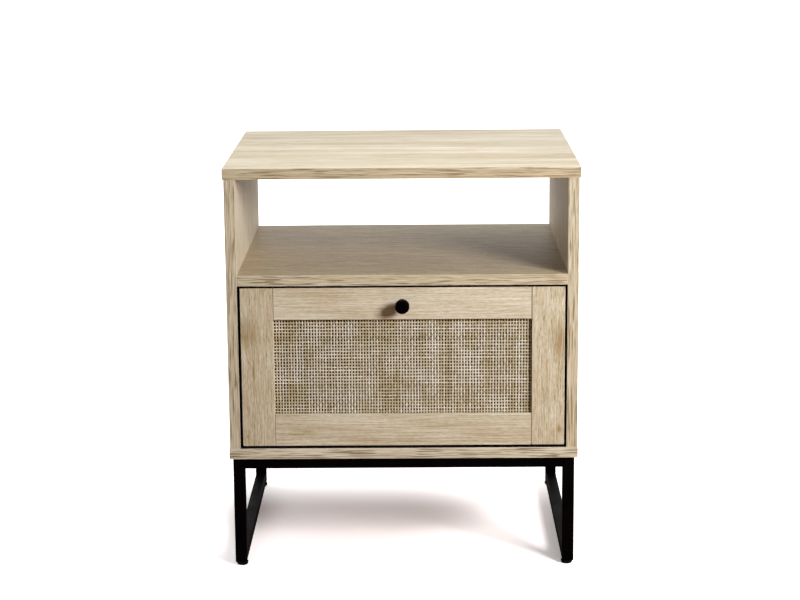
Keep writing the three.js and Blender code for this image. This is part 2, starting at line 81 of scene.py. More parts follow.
class Body(Enum):
    """Bodies of the frame that new pieces ride on."""

    CABINET = "cabinet"
    DRAWER = "drawer"
    LEFT_CAGE = "left_slide_cage"
    RIGHT_CAGE = "right_slide_cage"
    FRONT_LEFT_FOOT = "front_left_foot"
    FRONT_RIGHT_FOOT = "front_right_foot"
    BACK_LEFT_FOOT = "back_left_foot"
    BACK_RIGHT_FOOT = "back_right_foot"


class Slot(Enum):
    """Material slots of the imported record."""

    LIGHT_OAK = "light_oak"
    DRAWER_BOARD = "drawer_board"
    HARDBOARD = "hardboard"
    WEAVE = "weave"
    BLACK_STEEL = "black_steel"
    BLACK_PLASTIC = "black_plastic"
    ZINC_PLATE = "zinc_plate"
    BEECH = "beech"


class Grain(Enum):
    """Way the grain runs, as the turn that lays it along the pattern's X axis."""

    ACROSS = (0.0, 0.0, 0.0)
    DEEP = (0.0, 0.0, -QUARTER_TURN)
    UPRIGHT = (0.0, QUARTER_TURN, 0.0)


class Axis(Enum):
    """Axis that a board's wide faces look along."""

    X = (1.0, 0.0, 0.0)
    Y = (0.0, 1.0, 0.0)
    Z = (0.0, 0.0, 1.0)


class Recess(Enum):
    """Driver recess in a screw's head."""

    CROSS = "cross"
    HEXAGON = "hexagon"


def linear(hex_colour: str) -> Colour:
    """Turns an sRGB hex colour into the linear colour that sockets take.

    Args:
        hex_colour: six hex digits after a hash sign.

    Returns:
        Red, green, blue and an alpha of one.
    """
    channels = [int(hex_colour[start:start + 2], 16) / 255 for start in (1, 3, 5)]
    red, green, blue = (
        value / 12.92 if value <= 0.04045 else ((value + 0.055) / 1.055) ** 2.4
        for value in channels
    )
    return red, green, blue, 1.0


class Tree:
    """Node tree of a material or world in the making, with its texture coordinates at hand."""

    def __init__(self, owner: Material | World) -> None:
        """Empties the owner's tree and adds the coordinates.

        Args:
            owner: the material or world.
        """
        owner.use_nodes = True
        self.owner, self.tree = owner, owner.node_tree
        self.tree.nodes.clear()
        self.where = self.add("TexCoord").outputs

    def add(
        self, kind: str, inputs: Inputs | None = None, stops: Stops = (), **settings: object
    ) -> Node:
        """Adds one node with its settings, input values, links and colour stops.

        Args:
            kind: name of the node's type, without its prefix.
            inputs: a value, a node or an output for each input, by name or number.
            stops: positions and hex colours of a colour ramp.
            settings: properties of the node.

        Returns:
            The new node.
        """
        node = self.tree.nodes.new(f"ShaderNode{kind}")
        for name, value in settings.items():
            setattr(node, name, value)
        for name, value in (inputs or {}).items():
            source = value.outputs[0] if isinstance(value, Node) else value
            if isinstance(source, NodeSocket):
                self.tree.links.new(source, node.inputs[name])
            else:
                node.inputs[name].default_value = source
        for number, (position, colour) in enumerate(stops):
            elements = node.color_ramp.elements
            element = elements[number] if number < len(elements) else elements.new(position)
            element.position, element.color = position, linear(colour)
        return node

    def largest_part(self, vector: Source) -> Node:
        """Finds the size of a vector's largest part.

        Args:
            vector: the vector.

        Returns:
            The size.
        """
        sizes = self.add("VectorMath", {0: vector}, operation="ABSOLUTE")
        x, y, z = self.add("SeparateXYZ", {0: sizes}).outputs
        first = self.add("Math", {0: x, 1: y}, operation="MAXIMUM")
        return self.add("Math", {0: first, 1: z}, operation="MAXIMUM")

    def close(self, inputs: Inputs) -> Material:
        """Ends a material with its shader and its output.

        Args:
            inputs: values and links of the shader's sockets.

        Returns:
            The material.
        """
        self.add("OutputMaterial", {"Surface": self.add("BsdfPrincipled", inputs)})
        return self.owner


@dataclass(frozen=True)
class Region:
    """Box in the table's frame, in millimetres."""

    low: Triple
    high: Triple

    def share(self, tree: Tree) -> Node:
        """Tells whether a point is inside.

        Args:
            tree: the material's tree.

        Returns:
            One inside and zero outside.
        """
        half = [(high - low) / 2 for low, high in zip(self.low, self.high)]
        laid = tree.add("Mapping", {
            "Vector": tree.where["Object"],
            "Location": tuple(-(low + reach) / reach for low, reach in zip(self.low, half)),
            "Scale": tuple(MM_PER_METRE / reach for reach in half)})
        return tree.add("Math", {0: tree.largest_part(laid), 1: 1.0}, operation="LESS_THAN")


@dataclass(frozen=True)
class Blotch:
    """Soft brown patch, in the table's frame and in millimetres: a print figure on the stiles, a
    darkening on the top.
    """

    centre: Triple
    reach: Triple
    weight: float
    fibre_contrast: float = 0.4

    def share(self, tree: Tree, fibres: Node) -> Node:
        """Finds the blotch, which the print's fibres break up.

        Args:
            tree: the material's tree.
            fibres: noise of the fibres.

        Returns:
            The share of the blotch's colour.
        """
        near = tree.add("Mapping", {
            "Vector": tree.where["Object"],
            "Location": tuple(-c / r for c, r in zip(self.centre, self.reach)),
            "Scale": tuple(MM_PER_METRE / r for r in self.reach)})
        away = tree.add("VectorMath", {0: near}, operation="LENGTH").outputs["Value"]
        deepest = tree.add("MapRange", {
            "Value": fibres, "From Min": NOISE_LOW, "From Max": NOISE_HIGH,
            "To Min": (1 + self.fibre_contrast) * self.weight,
            "To Max": (1 - self.fibre_contrast) * self.weight})
        return tree.add(
            "MapRange", {"Value": away, "From Min": 1.0, "From Max": 0.0, "To Max": deepest},
            interpolation_type="SMOOTHERSTEP")


@dataclass(frozen=True)
class Streaks:
    """One size of grain line: its width and length in millimetres, and its weight.

    The start and the full mark are the noise at which the lines set in and at which they are full.
    """

    width: float
    length: float
    weight: float = 1.0
    detail: float = 1.0
    start: float = NOISE_LOW
    full: float = NOISE_HIGH
    roughness: float = 0.55

    def noise(self, tree: Tree, spot: Source) -> Node:
        """Makes noise that is drawn out along the grain.

        Args:
            tree: the material's tree.
            spot: place in the print, in millimetres with X along the grain.

        Returns:
            The noise, about a half.
        """
        stretched = tree.add("VectorMath", {
            0: spot, 1: (1 / self.length, 1 / self.width, 1 / self.width)}, operation="MULTIPLY")
        return tree.add("TexNoise", {
            "Vector": stretched, "Scale": 1.0, "Detail": self.detail, "Roughness": self.roughness})

    def share(self, tree: Tree, spot: Source, weight: Source | None = None) -> Node:
        """Turns the noise into the share of a colour.

        Args:
            tree: the material's tree.
            spot: place in the print.
            weight: what the share reaches, or nothing for the weight of its own.

        Returns:
            The share.
        """
        return tree.add("MapRange", {
            "Value": self.noise(tree, spot), "From Min": self.start, "From Max": self.full,
            "To Max": self.weight if weight is None else weight})


@dataclass(frozen=True)
class OakFoil:
    """Oak decor foil: printed paper in melamine resin, pressed on particle board with a matt plate.

    The print gives cream wood with short broken olive-tan fibres over softer, longer streaks, and
    the plate's embossed pores leave a low, slightly broken sheen. Each board is cut from another
    part of the print, and edge bands are strips of their own with a longer grain and dark lines.
    The faces round the drawer's gap carry dark, matt painted shade, which draws a black line
    round the drawer.
    """

    grain: Grain
    wide_face: Axis
    cut_at: Triple = (0.0, 0.0, 0.0)
    end_band_deep: bool = True
    blotches: tuple[Blotch, ...] = ()
    joint_at: float | None = None
    tones: Stops = (
        (0.22, "#a08d65"), (0.8, "#eae1cf"), (0.42, "#c5b596"), (0.56, "#d4c8b0"))
    paleness: float = 0.0
    streaks: tuple[Streaks, ...] = (
        Streaks(1.3, 7.0, 0.7), Streaks(1.4, 32.0), Streaks(3.4, 70.0, 0.25),
        Streaks(10.0, 170.0, 0.3, 2.0))
    pores: Streaks = Streaks(0.8, 7.0, 0.32, start=0.62, full=0.76)
    lines: Streaks = Streaks(1.9, 17.0, 0.8, start=0.47, full=0.38)
    clouds: Streaks = Streaks(42.0, 100.0, 0.35, 2.0, start=0.48, full=0.78)
    blush: str = "#bd9f7f"
    # Tone of the blotches: print figure on the stiles, darkening on the top, mostly painted shade.
    figure_and_shade: str = "#a0845a"
    line: str = "#7a6946"
    pore: str = "#8d7a56"
    joint: str = "#5c4a2c"
    joint_softness: float = 0.3
    joint_weight: float = 0.85
    # Painted shade on the faces round the drawer's gap.
    gap_painted_shade: str = "#0d0a07"
    # Pale eased edges: partly the cut foil's own tone, partly a painted highlight.
    rim: str = "#efe5cf"
    rim_weight: float = 0.7
    rim_facing: Span = (0.96, 0.9)
    wide_facing: Span = (0.3, 0.7)
    end_facing: float = 0.8
    contrast: float = 0.8
    band_contrast: float = 0.72
    band_depth: float = -0.01
    band_stretch: float = 0.4
    band_squeeze: float = 1.22
    waves: Streaks = Streaks(30.0, 130.0, 6.0, 2.0, roughness=0.5)
    band_waving: float = 0.8
    strip_shift: Triple = (43.0, 31.0, 57.0)
    # Boxes round the drawer's gap; the painted shade lies between them.
    gap_outside: Region = Region((-223.3, -186.4, 170.95), (223.05, -165.0, 398.1))
    gap_inside: Region = Region((-219.6, -190.0, 174.35), (219.95, -160.0, 395.1))
    relief_depth: float = 0.08
    relief_strength: float = 0.25
    roughness: Span = (0.42, 0.54)
    refraction: float = 1.5
    specular: float = 0.45

    def material(self, name: str) -> Material:
        """Makes the foil of one board.

        Args:
            name: name of the material.

        Returns:
            The material.
        """
        tree = Tree(bpy.data.materials.new(name))
        facing = tree.add("Mapping", {
            "Vector": tree.where["Normal"], "Rotation": self.grain.value}, vector_type="VECTOR")
        wide = self.wideness(tree)
        spot = self.print_spot(tree, facing, wide)
        fibres = [streaks.noise(tree, spot) for streaks in self.streaks]
        blotched: Source = 0.0
        for blotch in self.blotches:
            blotched = tree.add("Math", {0: blotched, 1: blotch.share(tree, fibres[1])},
                                operation="MAXIMUM")
        lining = tree.add("MapRange", {
            "Value": wide, "To Min": self.lines.weight, "To Max": 0.0})
        pored = self.pores.share(tree, spot)
        # Painted shade: the faces round the drawer's gap are darkened and dulled, so that the gap
        # reads black.
        gap_shade_share = tree.add("Math", {
            0: self.gap_outside.share(tree), 1: self.gap_inside.share(tree)},
            operation="SUBTRACT", use_clamp=True)
        colour: Source = tree.add("ValToRGB", {"Fac": self.tone(tree, fibres, wide)}, self.tones)
        for share, laid_over in (
            (self.lines.share(tree, spot, lining), self.line),
            (self.clouds.share(tree, spot), self.blush),
            (blotched, self.figure_and_shade),
            (pored, self.pore),
            (self.rim_share(tree, facing), self.rim),
            (self.joint_share(tree), self.joint),
            (gap_shade_share, self.gap_painted_shade),
        ):
            colour = tree.add("Mix", {
                "Factor": share, COLOUR_A: colour, COLOUR_B: linear(laid_over)},
                data_type="RGBA").outputs[COLOUR_OUT]
        height = tree.add("Math", {0: fibres[0], 1: pored}, operation="SUBTRACT")
        bump = tree.add("Bump", {
            "Strength": self.relief_strength, "Distance": self.relief_depth * MM,
            "Height": height})
        sheen = tree.add("MapRange", {
            "Value": fibres[0], "From Min": NOISE_LOW, "From Max": NOISE_HIGH,
            "To Min": self.roughness[0], "To Max": self.roughness[1]})
        dulled = tree.add("Math", {0: sheen, 1: gap_shade_share}, operation="MAXIMUM")
        return tree.close({
            "Base Color": colour, "Roughness": dulled, "Normal": bump, "IOR": self.refraction,
            "Specular IOR Level": self.specular})

    def tone(self, tree: Tree, fibres: Sequence[Node], wide: Node) -> Node:
        """Weighs the grain's noises against each other.

        Args:
            tree: the material's tree.
            fibres: the noises.
            wide: one on a wide face and zero on a band.

        Returns:
            The place in the range of tones.
        """
        total: Source = -sum(streaks.weight for streaks in self.streaks) / 2
        for noise, streaks in zip(fibres, self.streaks):
            total = tree.add("Math", {0: noise, 1: streaks.weight, 2: total},
                             operation="MULTIPLY_ADD")
        contrast = tree.add("MapRange", {
            "Value": wide, "To Min": self.band_contrast, "To Max": self.contrast})
        middle = 0.5 + self.paleness
        level = tree.add("MapRange", {
            "Value": wide, "To Min": middle - self.band_depth, "To Max": middle})
        return tree.add("Math", {0: total, 1: contrast, 2: level}, operation="MULTIPLY_ADD")

    def wideness(self, tree: Tree) -> Node:
        """Tells the wide faces from the edge bands.

        Args:
            tree: the material's tree.

        Returns:
            One on a wide face and zero on a band.
        """
        head_on = tree.add("VectorMath", {0: tree.where["Normal"], 1: self.wide_face.value},
                           operation="DOT_PRODUCT").outputs["Value"]
        size = tree.add("Math", {0: head_on}, operation="ABSOLUTE")
        return tree.add("MapRange", {
            "Value": size, "From Min": self.wide_facing[0], "From Max": self.wide_facing[1]})

    def print_spot(self, tree: Tree, facing: Node, wide: Node) -> Node:
        """Finds the place in the print, in millimetres with X along the grain.

        Args:
            tree: the material's tree.
            facing: the face's direction, turned as the grain is.
            wide: one on a wide face and zero on a band.

        Returns:
            The place, which differs from face to face as each face has its own foil.
        """
        laid = tree.add("Mapping", {
            "Vector": tree.where["Object"], "Location": self.cut_at,
            "Rotation": self.grain.value, "Scale": (MM_PER_METRE,) * 3})
        own = tree.add("VectorMath", {0: facing, 1: self.strip_shift, 2: laid},
                       operation="MULTIPLY_ADD")
        along, across, through = tree.add("SeparateXYZ", {0: own}).outputs
        end_long, end_thin = (across, through) if self.end_band_deep else (through, across)
        banded = tree.add("CombineXYZ", {0: end_long, 1: along, 2: end_thin})
        end_on = tree.add("Math", {0: tree.add("SeparateXYZ", {0: facing})}, operation="ABSOLUTE")
        at_end = tree.add("Math", {0: end_on, 1: self.end_facing}, operation="GREATER_THAN")
        chosen = tree.add("Mix", {"Factor": at_end, VECTOR_A: own, VECTOR_B: banded},
                          data_type="VECTOR").outputs[VECTOR_OUT]
        bend = self.waves.noise(tree, chosen).outputs["Color"]
        waving = tree.add("MapRange", {
            "Value": wide, "To Min": self.band_waving, "To Max": self.waves.weight})
        sideways = tree.add("CombineXYZ", {1: waving, 2: waving})
        swing = tree.add("VectorMath", {0: bend, 1: sideways, 2: chosen},
                         operation="MULTIPLY_ADD")
        stretch = tree.add("Mix", {
            "Factor": wide, VECTOR_A: (self.band_stretch, self.band_squeeze, self.band_squeeze),
            VECTOR_B: (1.0, 1.0, 1.0)}, data_type="VECTOR").outputs[VECTOR_OUT]
        return tree.add("VectorMath", {0: swing, 1: stretch}, operation="MULTIPLY")

    def rim_share(self, tree: Tree, facing: Node) -> Node:
        """Finds the eased edges, whose pale rim is partly the cut foil's own and partly a painted
        highlight.

        Args:
            tree: the material's tree.
            facing: the face's direction.

        Returns:
            A share above zero on faces that look along no axis.
        """
        return tree.add("MapRange", {
            "Value": tree.largest_part(facing), "From Min": self.rim_facing[0],
            "From Max": self.rim_facing[1], "To Max": self.rim_weight})

    def joint_share(self, tree: Tree) -> Source:
        """Finds the dark joint at a rail's two ends.

        Args:
            tree: the material's tree.

        Returns:
            The share of the joint's colour, or zero where the board has none.
        """
        if self.joint_at is None:
            return 0.0
        sideways = tree.add("SeparateXYZ", {0: tree.where["Object"]})
        away = tree.add("Math", {0: sideways}, operation="ABSOLUTE")
        return tree.add("MapRange", {
            "Value": away, "From Min": (self.joint_at - self.joint_softness) * MM,
            "From Max": self.joint_at * MM, "To Max": self.joint_weight})


LONG_STREAKS = (Streaks(1.3, 8.0, 0.6), Streaks(1.4, 90.0), Streaks(3.4, 150.0, 0.25),
                Streaks(10.0, 300.0, 0.3, 2.0))
TOP_STREAKS = (Streaks(1.3, 14.0, 0.6), Streaks(1.4, 80.0), Streaks(6.0, 190.0, 0.35),
               Streaks(26.0, 420.0, 0.5, 2.0), Streaks(70.0, 900.0, 0.9))
TOP_TONES = ((0.22, "#a5926a"), (0.8, "#ede4d2"), (0.42, "#c8b999"), (0.56, "#d5c9b0"))


@dataclass(frozen=True)
class PaperStrand:
    """Strand of twisted and pressed paper, as used for cane-look weaving.

    The pulp takes the dye unevenly, so strands run from greyish white over cream to olive tan, with
    fine fibre lines along each, a matt face and a little fuzz at the edges.
    """

    lengthways: Grain
    tints: Stops
    fibres: Streaks = Streaks(0.5, 9.0)
    shading: Span = (0.72, 1.18)
    patches: Streaks = Streaks(18.0, 52.0, 0.33, 2.0)
    relief_depth: float = 0.1
    relief_strength: float = 0.5
    roughness: float = 0.78
    fuzz: float = 0.08
    specular: float = 0.3

    def material(self, name: str) -> Material:
        """Makes the strands' material; the piece's own tint attribute picks a strand's dye.

        Args:
            name: name of the material.

        Returns:
            The material.
        """
        tree = Tree(bpy.data.materials.new(name))
        laid = tree.add("Mapping", {
            "Vector": tree.where["Object"], "Rotation": self.lengthways.value,
            "Scale": (MM_PER_METRE,) * 3})
        dye = tree.add("Attribute", attribute_name=TINT).outputs["Fac"]
        patch = tree.add("MapRange", {
            "Value": self.patches.noise(tree, laid), "From Min": NOISE_LOW, "From Max": NOISE_HIGH,
            "To Min": -self.patches.weight, "To Max": self.patches.weight})
        uptake = tree.add("Math", {0: dye, 1: patch}, operation="ADD", use_clamp=True)
        tone = tree.add("ValToRGB", {"Fac": uptake}, self.tints)
        fibres = self.fibres.noise(tree, laid)
        shade = tree.add("MapRange", {
            "Value": fibres, "From Min": NOISE_LOW, "From Max": NOISE_HIGH,
            "To Min": self.shading[0], "To Max": self.shading[1]})
        lined = tree.add("VectorMath", {0: tone, "Scale": shade}, operation="SCALE")
        bump = tree.add("Bump", {
            "Strength": self.relief_strength, "Distance": self.relief_depth * MM,
            "Height": fibres})
        return tree.close({
            "Base Color": lined, "Roughness": self.roughness, "Normal": bump,
            "Sheen Weight": self.fuzz, "Specular IOR Level": self.specular})


@dataclass(frozen=True)
class MottledFinish:
    """Finish of two tones that a noise mottles, with a fine relief. Sizes are in millimetres."""

    dark: str
    light: str
    mottle_size: Triple
    relief_size: Triple
    mottle_range: Span = (0.38, 0.64)
    roughness: Span = (0.5, 0.5)
    relief_depth: float = 0.08
    relief_strength: float = 0.3
    metallic: float = 0.0
    specular: float = 0.5
    noise_detail: float = 3.0
    noise_roughness: float = 0.6

    def material(self, name: str) -> Material:
        """Makes the finish's material.

        Args:
            name: name of the material.

        Returns:
            The material.
        """
        tree = Tree(bpy.data.materials.new(name))
        noises = []
        for size in (self.mottle_size, self.relief_size):
            laid = tree.add("Mapping", {
                "Vector": tree.where["Object"],
                "Scale": tuple(MM_PER_METRE / length for length in size)})
            noises.append(tree.add("TexNoise", {
                "Vector": laid, "Scale": 1.0, "Detail": self.noise_detail,
                "Roughness": self.noise_roughness}))
        mottle, relief = noises
        start, end = self.mottle_range
        tone = tree.add("ValToRGB", {"Fac": mottle}, ((start, self.dark), (end, self.light)))
        sheen = tree.add("MapRange", {
            "Value": mottle, "From Min": start, "From Max": end,
            "To Min": self.roughness[0], "To Max": self.roughness[1]})
        bump = tree.add("Bump", {
            "Strength": self.relief_strength, "Distance": self.relief_depth * MM,
            "Height": relief})
        return tree.close({
            "Base Color": tone, "Roughness": sheen, "Normal": bump, "Metallic": self.metallic,
            "Specular IOR Level": self.specular})


@dataclass(frozen=True)
class Hardboard(MottledFinish):
    """Hardboard: wet wood fibres pressed into a thin brown sheet.

    Its face is matt and mottled, with short darker fibres lying every way.
    """

    dark: str = "#6d5337"
    light: str = "#a1845f"
    mottle_size: Triple = (1.6, 1.6, 1.6)
    relief_size: Triple = (1.6, 1.6, 1.6)
    roughness: Span = (0.85, 0.75)
    relief_depth: float = 0.1
    specular: float = 0.25


@dataclass(frozen=True)
class PowderCoat(MottledFinish):
    """Black polyester powder coat, melted on steel tube.

    It gives a deep, slightly warm black with a satin sheen and the faint orange peel of the melt.
    The real peel is under 1 mm across; it is drawn coarser so that it shows.
    """

    dark: str = "#030102"
    light: str = "#070405"
    mottle_size: Triple = (30.0, 30.0, 30.0)
    relief_size: Triple = (2.2, 2.2, 2.2)
    roughness: Span = (0.42, 0.54)
    relief_strength: float = 0.25
    specular: float = 0.02


@dataclass(frozen=True)
class MouldedPlastic(MottledFinish):
    """Black polyamide, injection moulded.

    It is matt from the eroded mould, with a soft grey bloom where it has rubbed.
    """

    dark: str = "#090708"
    light: str = "#181516"
    mottle_size: Triple = (7.0, 7.0, 7.0)
    relief_size: Triple = (0.9, 0.9, 0.9)
    mottle_range: Span = (0.5, 0.8)
    roughness: Span = (0.6, 0.5)
    relief_depth: float = 0.05
    relief_strength: float = 0.4
    specular: float = 0.12


@dataclass(frozen=True)
class ZincPlate(MottledFinish):
    """Steel with a zinc plate, as on slides, screws and cam locks.

    The plate is a light bluish grey metal with a soft gloss, cloudy patches from the bath, and the
    rolled strip's drawing lines along Y.
    """

    dark: str = "#8d9197"
    light: str = "#b3b7bc"
    mottle_size: Triple = (9.0, 9.0, 9.0)
    relief_size: Triple = (0.8, 60.0, 0.8)
    roughness: Span = (0.5, 0.38)
    relief_depth: float = 0.03
    relief_strength: float = 0.2
    metallic: float = 1.0


@dataclass(frozen=True)
class GroundSteel(MottledFinish):
    """Ball bearing steel, ground and polished.

    It is a bright neutral metal with a sharp gloss under a thin film of grease.
    """

    dark: str = "#bcbdc0"
    light: str = "#d0d1d3"
    mottle_size: Triple = (2.0, 2.0, 2.0)
    relief_size: Triple = (0.5, 0.5, 0.5)
    roughness: Span = (0.22, 0.12)
    relief_depth: float = 0.01
    metallic: float = 1.0


@dataclass(frozen=True)
class TurnedBeech(MottledFinish):
    """Beech, turned into fluted dowels.

    It is a pinkish straw wood with short dark ray flecks and no finish.
    """

    dark: str = "#a97f55"
    light: str = "#d6b48a"
    mottle_size: Triple = (0.5, 0.5, 3.0)
    relief_size: Triple = (0.5, 0.5, 3.0)
    roughness: Span = (0.75, 0.65)
    relief_depth: float = 0.1


def dress(nodes: Iterable[str], material: Material) -> None:
    """Gives carried-over nodes their material.

    Args:
        nodes: names of the nodes.
        material: the material.
    """
    for node in nodes:
        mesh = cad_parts[node].data
        mesh.materials.clear()
        mesh.materials.append(material)
        LOG.info("%s is dressed in %s", node, material.name)


def finish_piece(
    shape: BMesh,
    name: str,
    material: Material,
    body: Body,
    replaced: Iterable[str] = (),
    crease: float = math.radians(35),
) -> Object:
    """Turns a shape into a piece that rides on its body.

    Args:
        shape: the shape in the table's frame, which is used up.
        name: name of the piece.
        material: its material.
        body: the body that it moves with.
        replaced: nodes that it stands for.
        crease: edges that turn by more than this stay sharp.

    Returns:
        The piece.
    """
    bmesh.ops.remove_doubles(shape, verts=shape.verts, dist=MERGE_DISTANCE)
    bmesh.ops.recalc_face_normals(shape, faces=shape.faces)
    mesh = used_up(shape, name)
    mesh.shade_smooth()
    mesh.set_sharp_from_angle(angle=crease)
    mesh.materials.append(material)
    piece = placed(name, mesh)
    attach(piece, body.value)
    if replaced:
        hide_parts(*replaced)
    LOG.info("%s rides on %s with %d faces", name, body.value, len(mesh.polygons))
    return piece


def used_up(shape: BMesh, name: str) -> Mesh:
    """Turns a shape into a mesh and frees the shape.

    Args:
        shape: the shape.
        name: name of the mesh.

    Returns:
        The mesh.
    """
    mesh = bpy.data.meshes.new(name)
    shape.to_mesh(mesh)
    shape.free()
    return mesh


def placed(name: str, data: bpy.types.ID) -> Object:
    """Puts a mesh, lamp or lens into the scene as an object.

    Args:
        name: name of the object.
        data: what the object holds.

    Returns:
        The object.
    """
    thing = bpy.data.objects.new(name, data)
    bpy.context.scene.collection.objects.link(thing)
    return thing


def turn_profile(profile: Profile, sides: int) -> BMesh:
    """Turns a profile round the Z axis.

    Args:
        profile: its corners, from one end of the axis to the other.
        sides: number of steps in the full turn.

    Returns:
        The closed turned shape.
    """
    shape = bmesh.new()
    corners = [shape.verts.new((radius, 0.0, height)) for radius, height, _ in profile]
    for start, end in zip(corners, corners[1:]):
        shape.edges.new((start, end))
    for corner, (_, _, rounding) in zip(corners, profile):
        if rounding:
            bmesh.ops.bevel(shape, geom=[corner], affect="VERTICES", offset=rounding,
                            segments=ROUNDING_SEGMENTS, profile=0.5, material=-1)
    bmesh.ops.spin(shape, geom=shape.verts[:] + shape.edges[:], cent=(0, 0, 0), axis=(0, 0, 1),
                   angle=FULL_TURN, steps=sides, use_merge=True)
    bmesh.ops.remove_doubles(shape, verts=shape.verts, dist=MERGE_DISTANCE)
    return shape


def block(low: Vector, high: Vector) -> BMesh:
    """Makes a box between two corners.

    Args:
        low: its lowest corner.
        high: its highest corner.

    Returns:
        The box.
    """
    shape = bmesh.new()
    place = Matrix.Translation((low + high) / 2) @ Matrix.Diagonal(high - low).to_4x4()
    bmesh.ops.create_cube(shape, size=1.0, matrix=place)
    return shape


def cut_away(shape: BMesh, cutter: BMesh) -> BMesh:
    """Cuts one shape out of another and uses both up.

    Args:
        shape: the closed shape to cut.
        cutter: the closed shape to take out.

    Returns:
        What is left of the first shape.
    """
    helpers = []
    for part in (shape, cutter):
        bmesh.ops.recalc_face_normals(part, faces=part.faces)
        helpers.append(placed("helper", used_up(part, "helper")))
    cut = helpers[0].modifiers.new("cut", "BOOLEAN")
    cut.operation, cut.solver, cut.object = "DIFFERENCE", "EXACT", helpers[1]
    left = bmesh.new()
    left.from_object(helpers[0], bpy.context.evaluated_depsgraph_get())
    for helper in helpers:
        mesh = helper.data
        bpy.data.objects.remove(helper)
        bpy.data.meshes.remove(mesh)
    return left


def repeat(pattern: BMesh, places: Iterable[Matrix]) -> BMesh:
    """Copies a shape to several places and uses it up.

    Args:
        pattern: the shape.
        places: a matrix for each copy.

    Returns:
        All copies in one shape.
    """
    mesh = used_up(pattern, "pattern")
    whole = bmesh.new()
    for place in places:
        before = len(whole.verts)
        whole.from_mesh(mesh)
        whole.verts.ensure_lookup_table()
        bmesh.ops.transform(whole, matrix=place, verts=whole.verts[before:])
    bpy.data.meshes.remove(mesh)
    return whole


def upright_at(node: str) -> Matrix:
    """Finds the foot of an upright turned node.

    Args:
        node: name of the node.

    Returns:
        The matrix that puts a shape drawn up from zero there.
    """
    low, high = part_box(node)
    return Matrix.Translation(((low.x + high.x) / 2, (low.y + high.y) / 2, low.z))


def lying_at(low: Vector, high: Vector) -> Matrix:
    """Finds the back end of a turned node that points forwards.

    Args:
        low: lowest corner of the node's box.
        high: highest corner of the node's box.

    Returns:
        The matrix that lays a shape drawn up from zero there.
    """
    end = Matrix.Translation(((low.x + high.x) / 2, high.y, (low.z + high.z) / 2))
    return end @ Matrix.Rotation(QUARTER_TURN, 4, "X")


@dataclass(frozen=True)
class Screw:
    """Screw with a domed head and a driver recess, drawn upwards from the head's face."""

    head_radius: float
    head_height: float
    shank_radius: float
    thread_radius: float
    length: float
    recess: Recess
    flat_share: float = 0.45
    dome: float = 0.7 * MM
    neck: float = 14.7 * MM
    neck_taper: float = 0.3 * MM
    point: float = 3 * MM
    flat_rounding: float = 0.8 * MM
    rim_rounding: float = 0.3 * MM
    seat_rounding: float = 0.2 * MM
    arm_width: float = 0.9 * MM
    recess_reach_share: float = 0.5
    recess_depth_share: float = 0.6
    sides: int = 32

    def shape(self) -> BMesh:
        """Turns the screw and cuts its recess.

        Returns:
            The screw, with its head's face at zero and its point up.
        """
        shape = turn_profile([
            (0.0, 0.0, 0.0), (self.flat_share * self.head_radius, 0.0, self.flat_rounding),
            (self.head_radius, self.dome, self.rim_rounding),
            (self.head_radius, self.head_height, self.seat_rounding),
            (self.shank_radius, self.head_height, 0.0), (self.shank_radius, self.neck, 0.0),
            (self.thread_radius, self.neck + self.neck_taper, 0.0),
            (self.thread_radius, self.length - self.point, 0.0), (0.0, self.length, 0.0),
        ], self.sides)
        for cutter in self.cutters():
            shape = cut_away(shape, cutter)
        return shape

    def cutters(self) -> list[BMesh]:
        """Makes what is cut from the head: two crossing slots or a hexagon.

        Returns:
            The cutters.
        """
        reach = self.recess_reach_share * self.head_radius
        depth = self.recess_depth_share * self.head_height
        if self.recess is Recess.HEXAGON:
            hexagon = bmesh.new()
            bmesh.ops.create_cone(hexagon, cap_ends=True, segments=6, radius1=reach,
                                  radius2=reach, depth=2 * depth)
            return [hexagon]
        arms = (Vector((reach, self.arm_width / 2, depth)),
                Vector((self.arm_width / 2, reach, depth)))
        return [block(-arm, arm) for arm in arms]

    def drive(self, name: str, nodes: tuple[str, ...]) -> None:
        """Drives a set of these screws upwards into the cabinet.

        Args:
            name: name of the piece that the screws make.
            nodes: the nodes that they stand for.
        """
        finish_piece(repeat(self.shape(), [upright_at(node) for node in nodes]), name,
                     ZincPlate().material(f"zinc_plate_{name}"), Body.CABINET,
                     nodes)


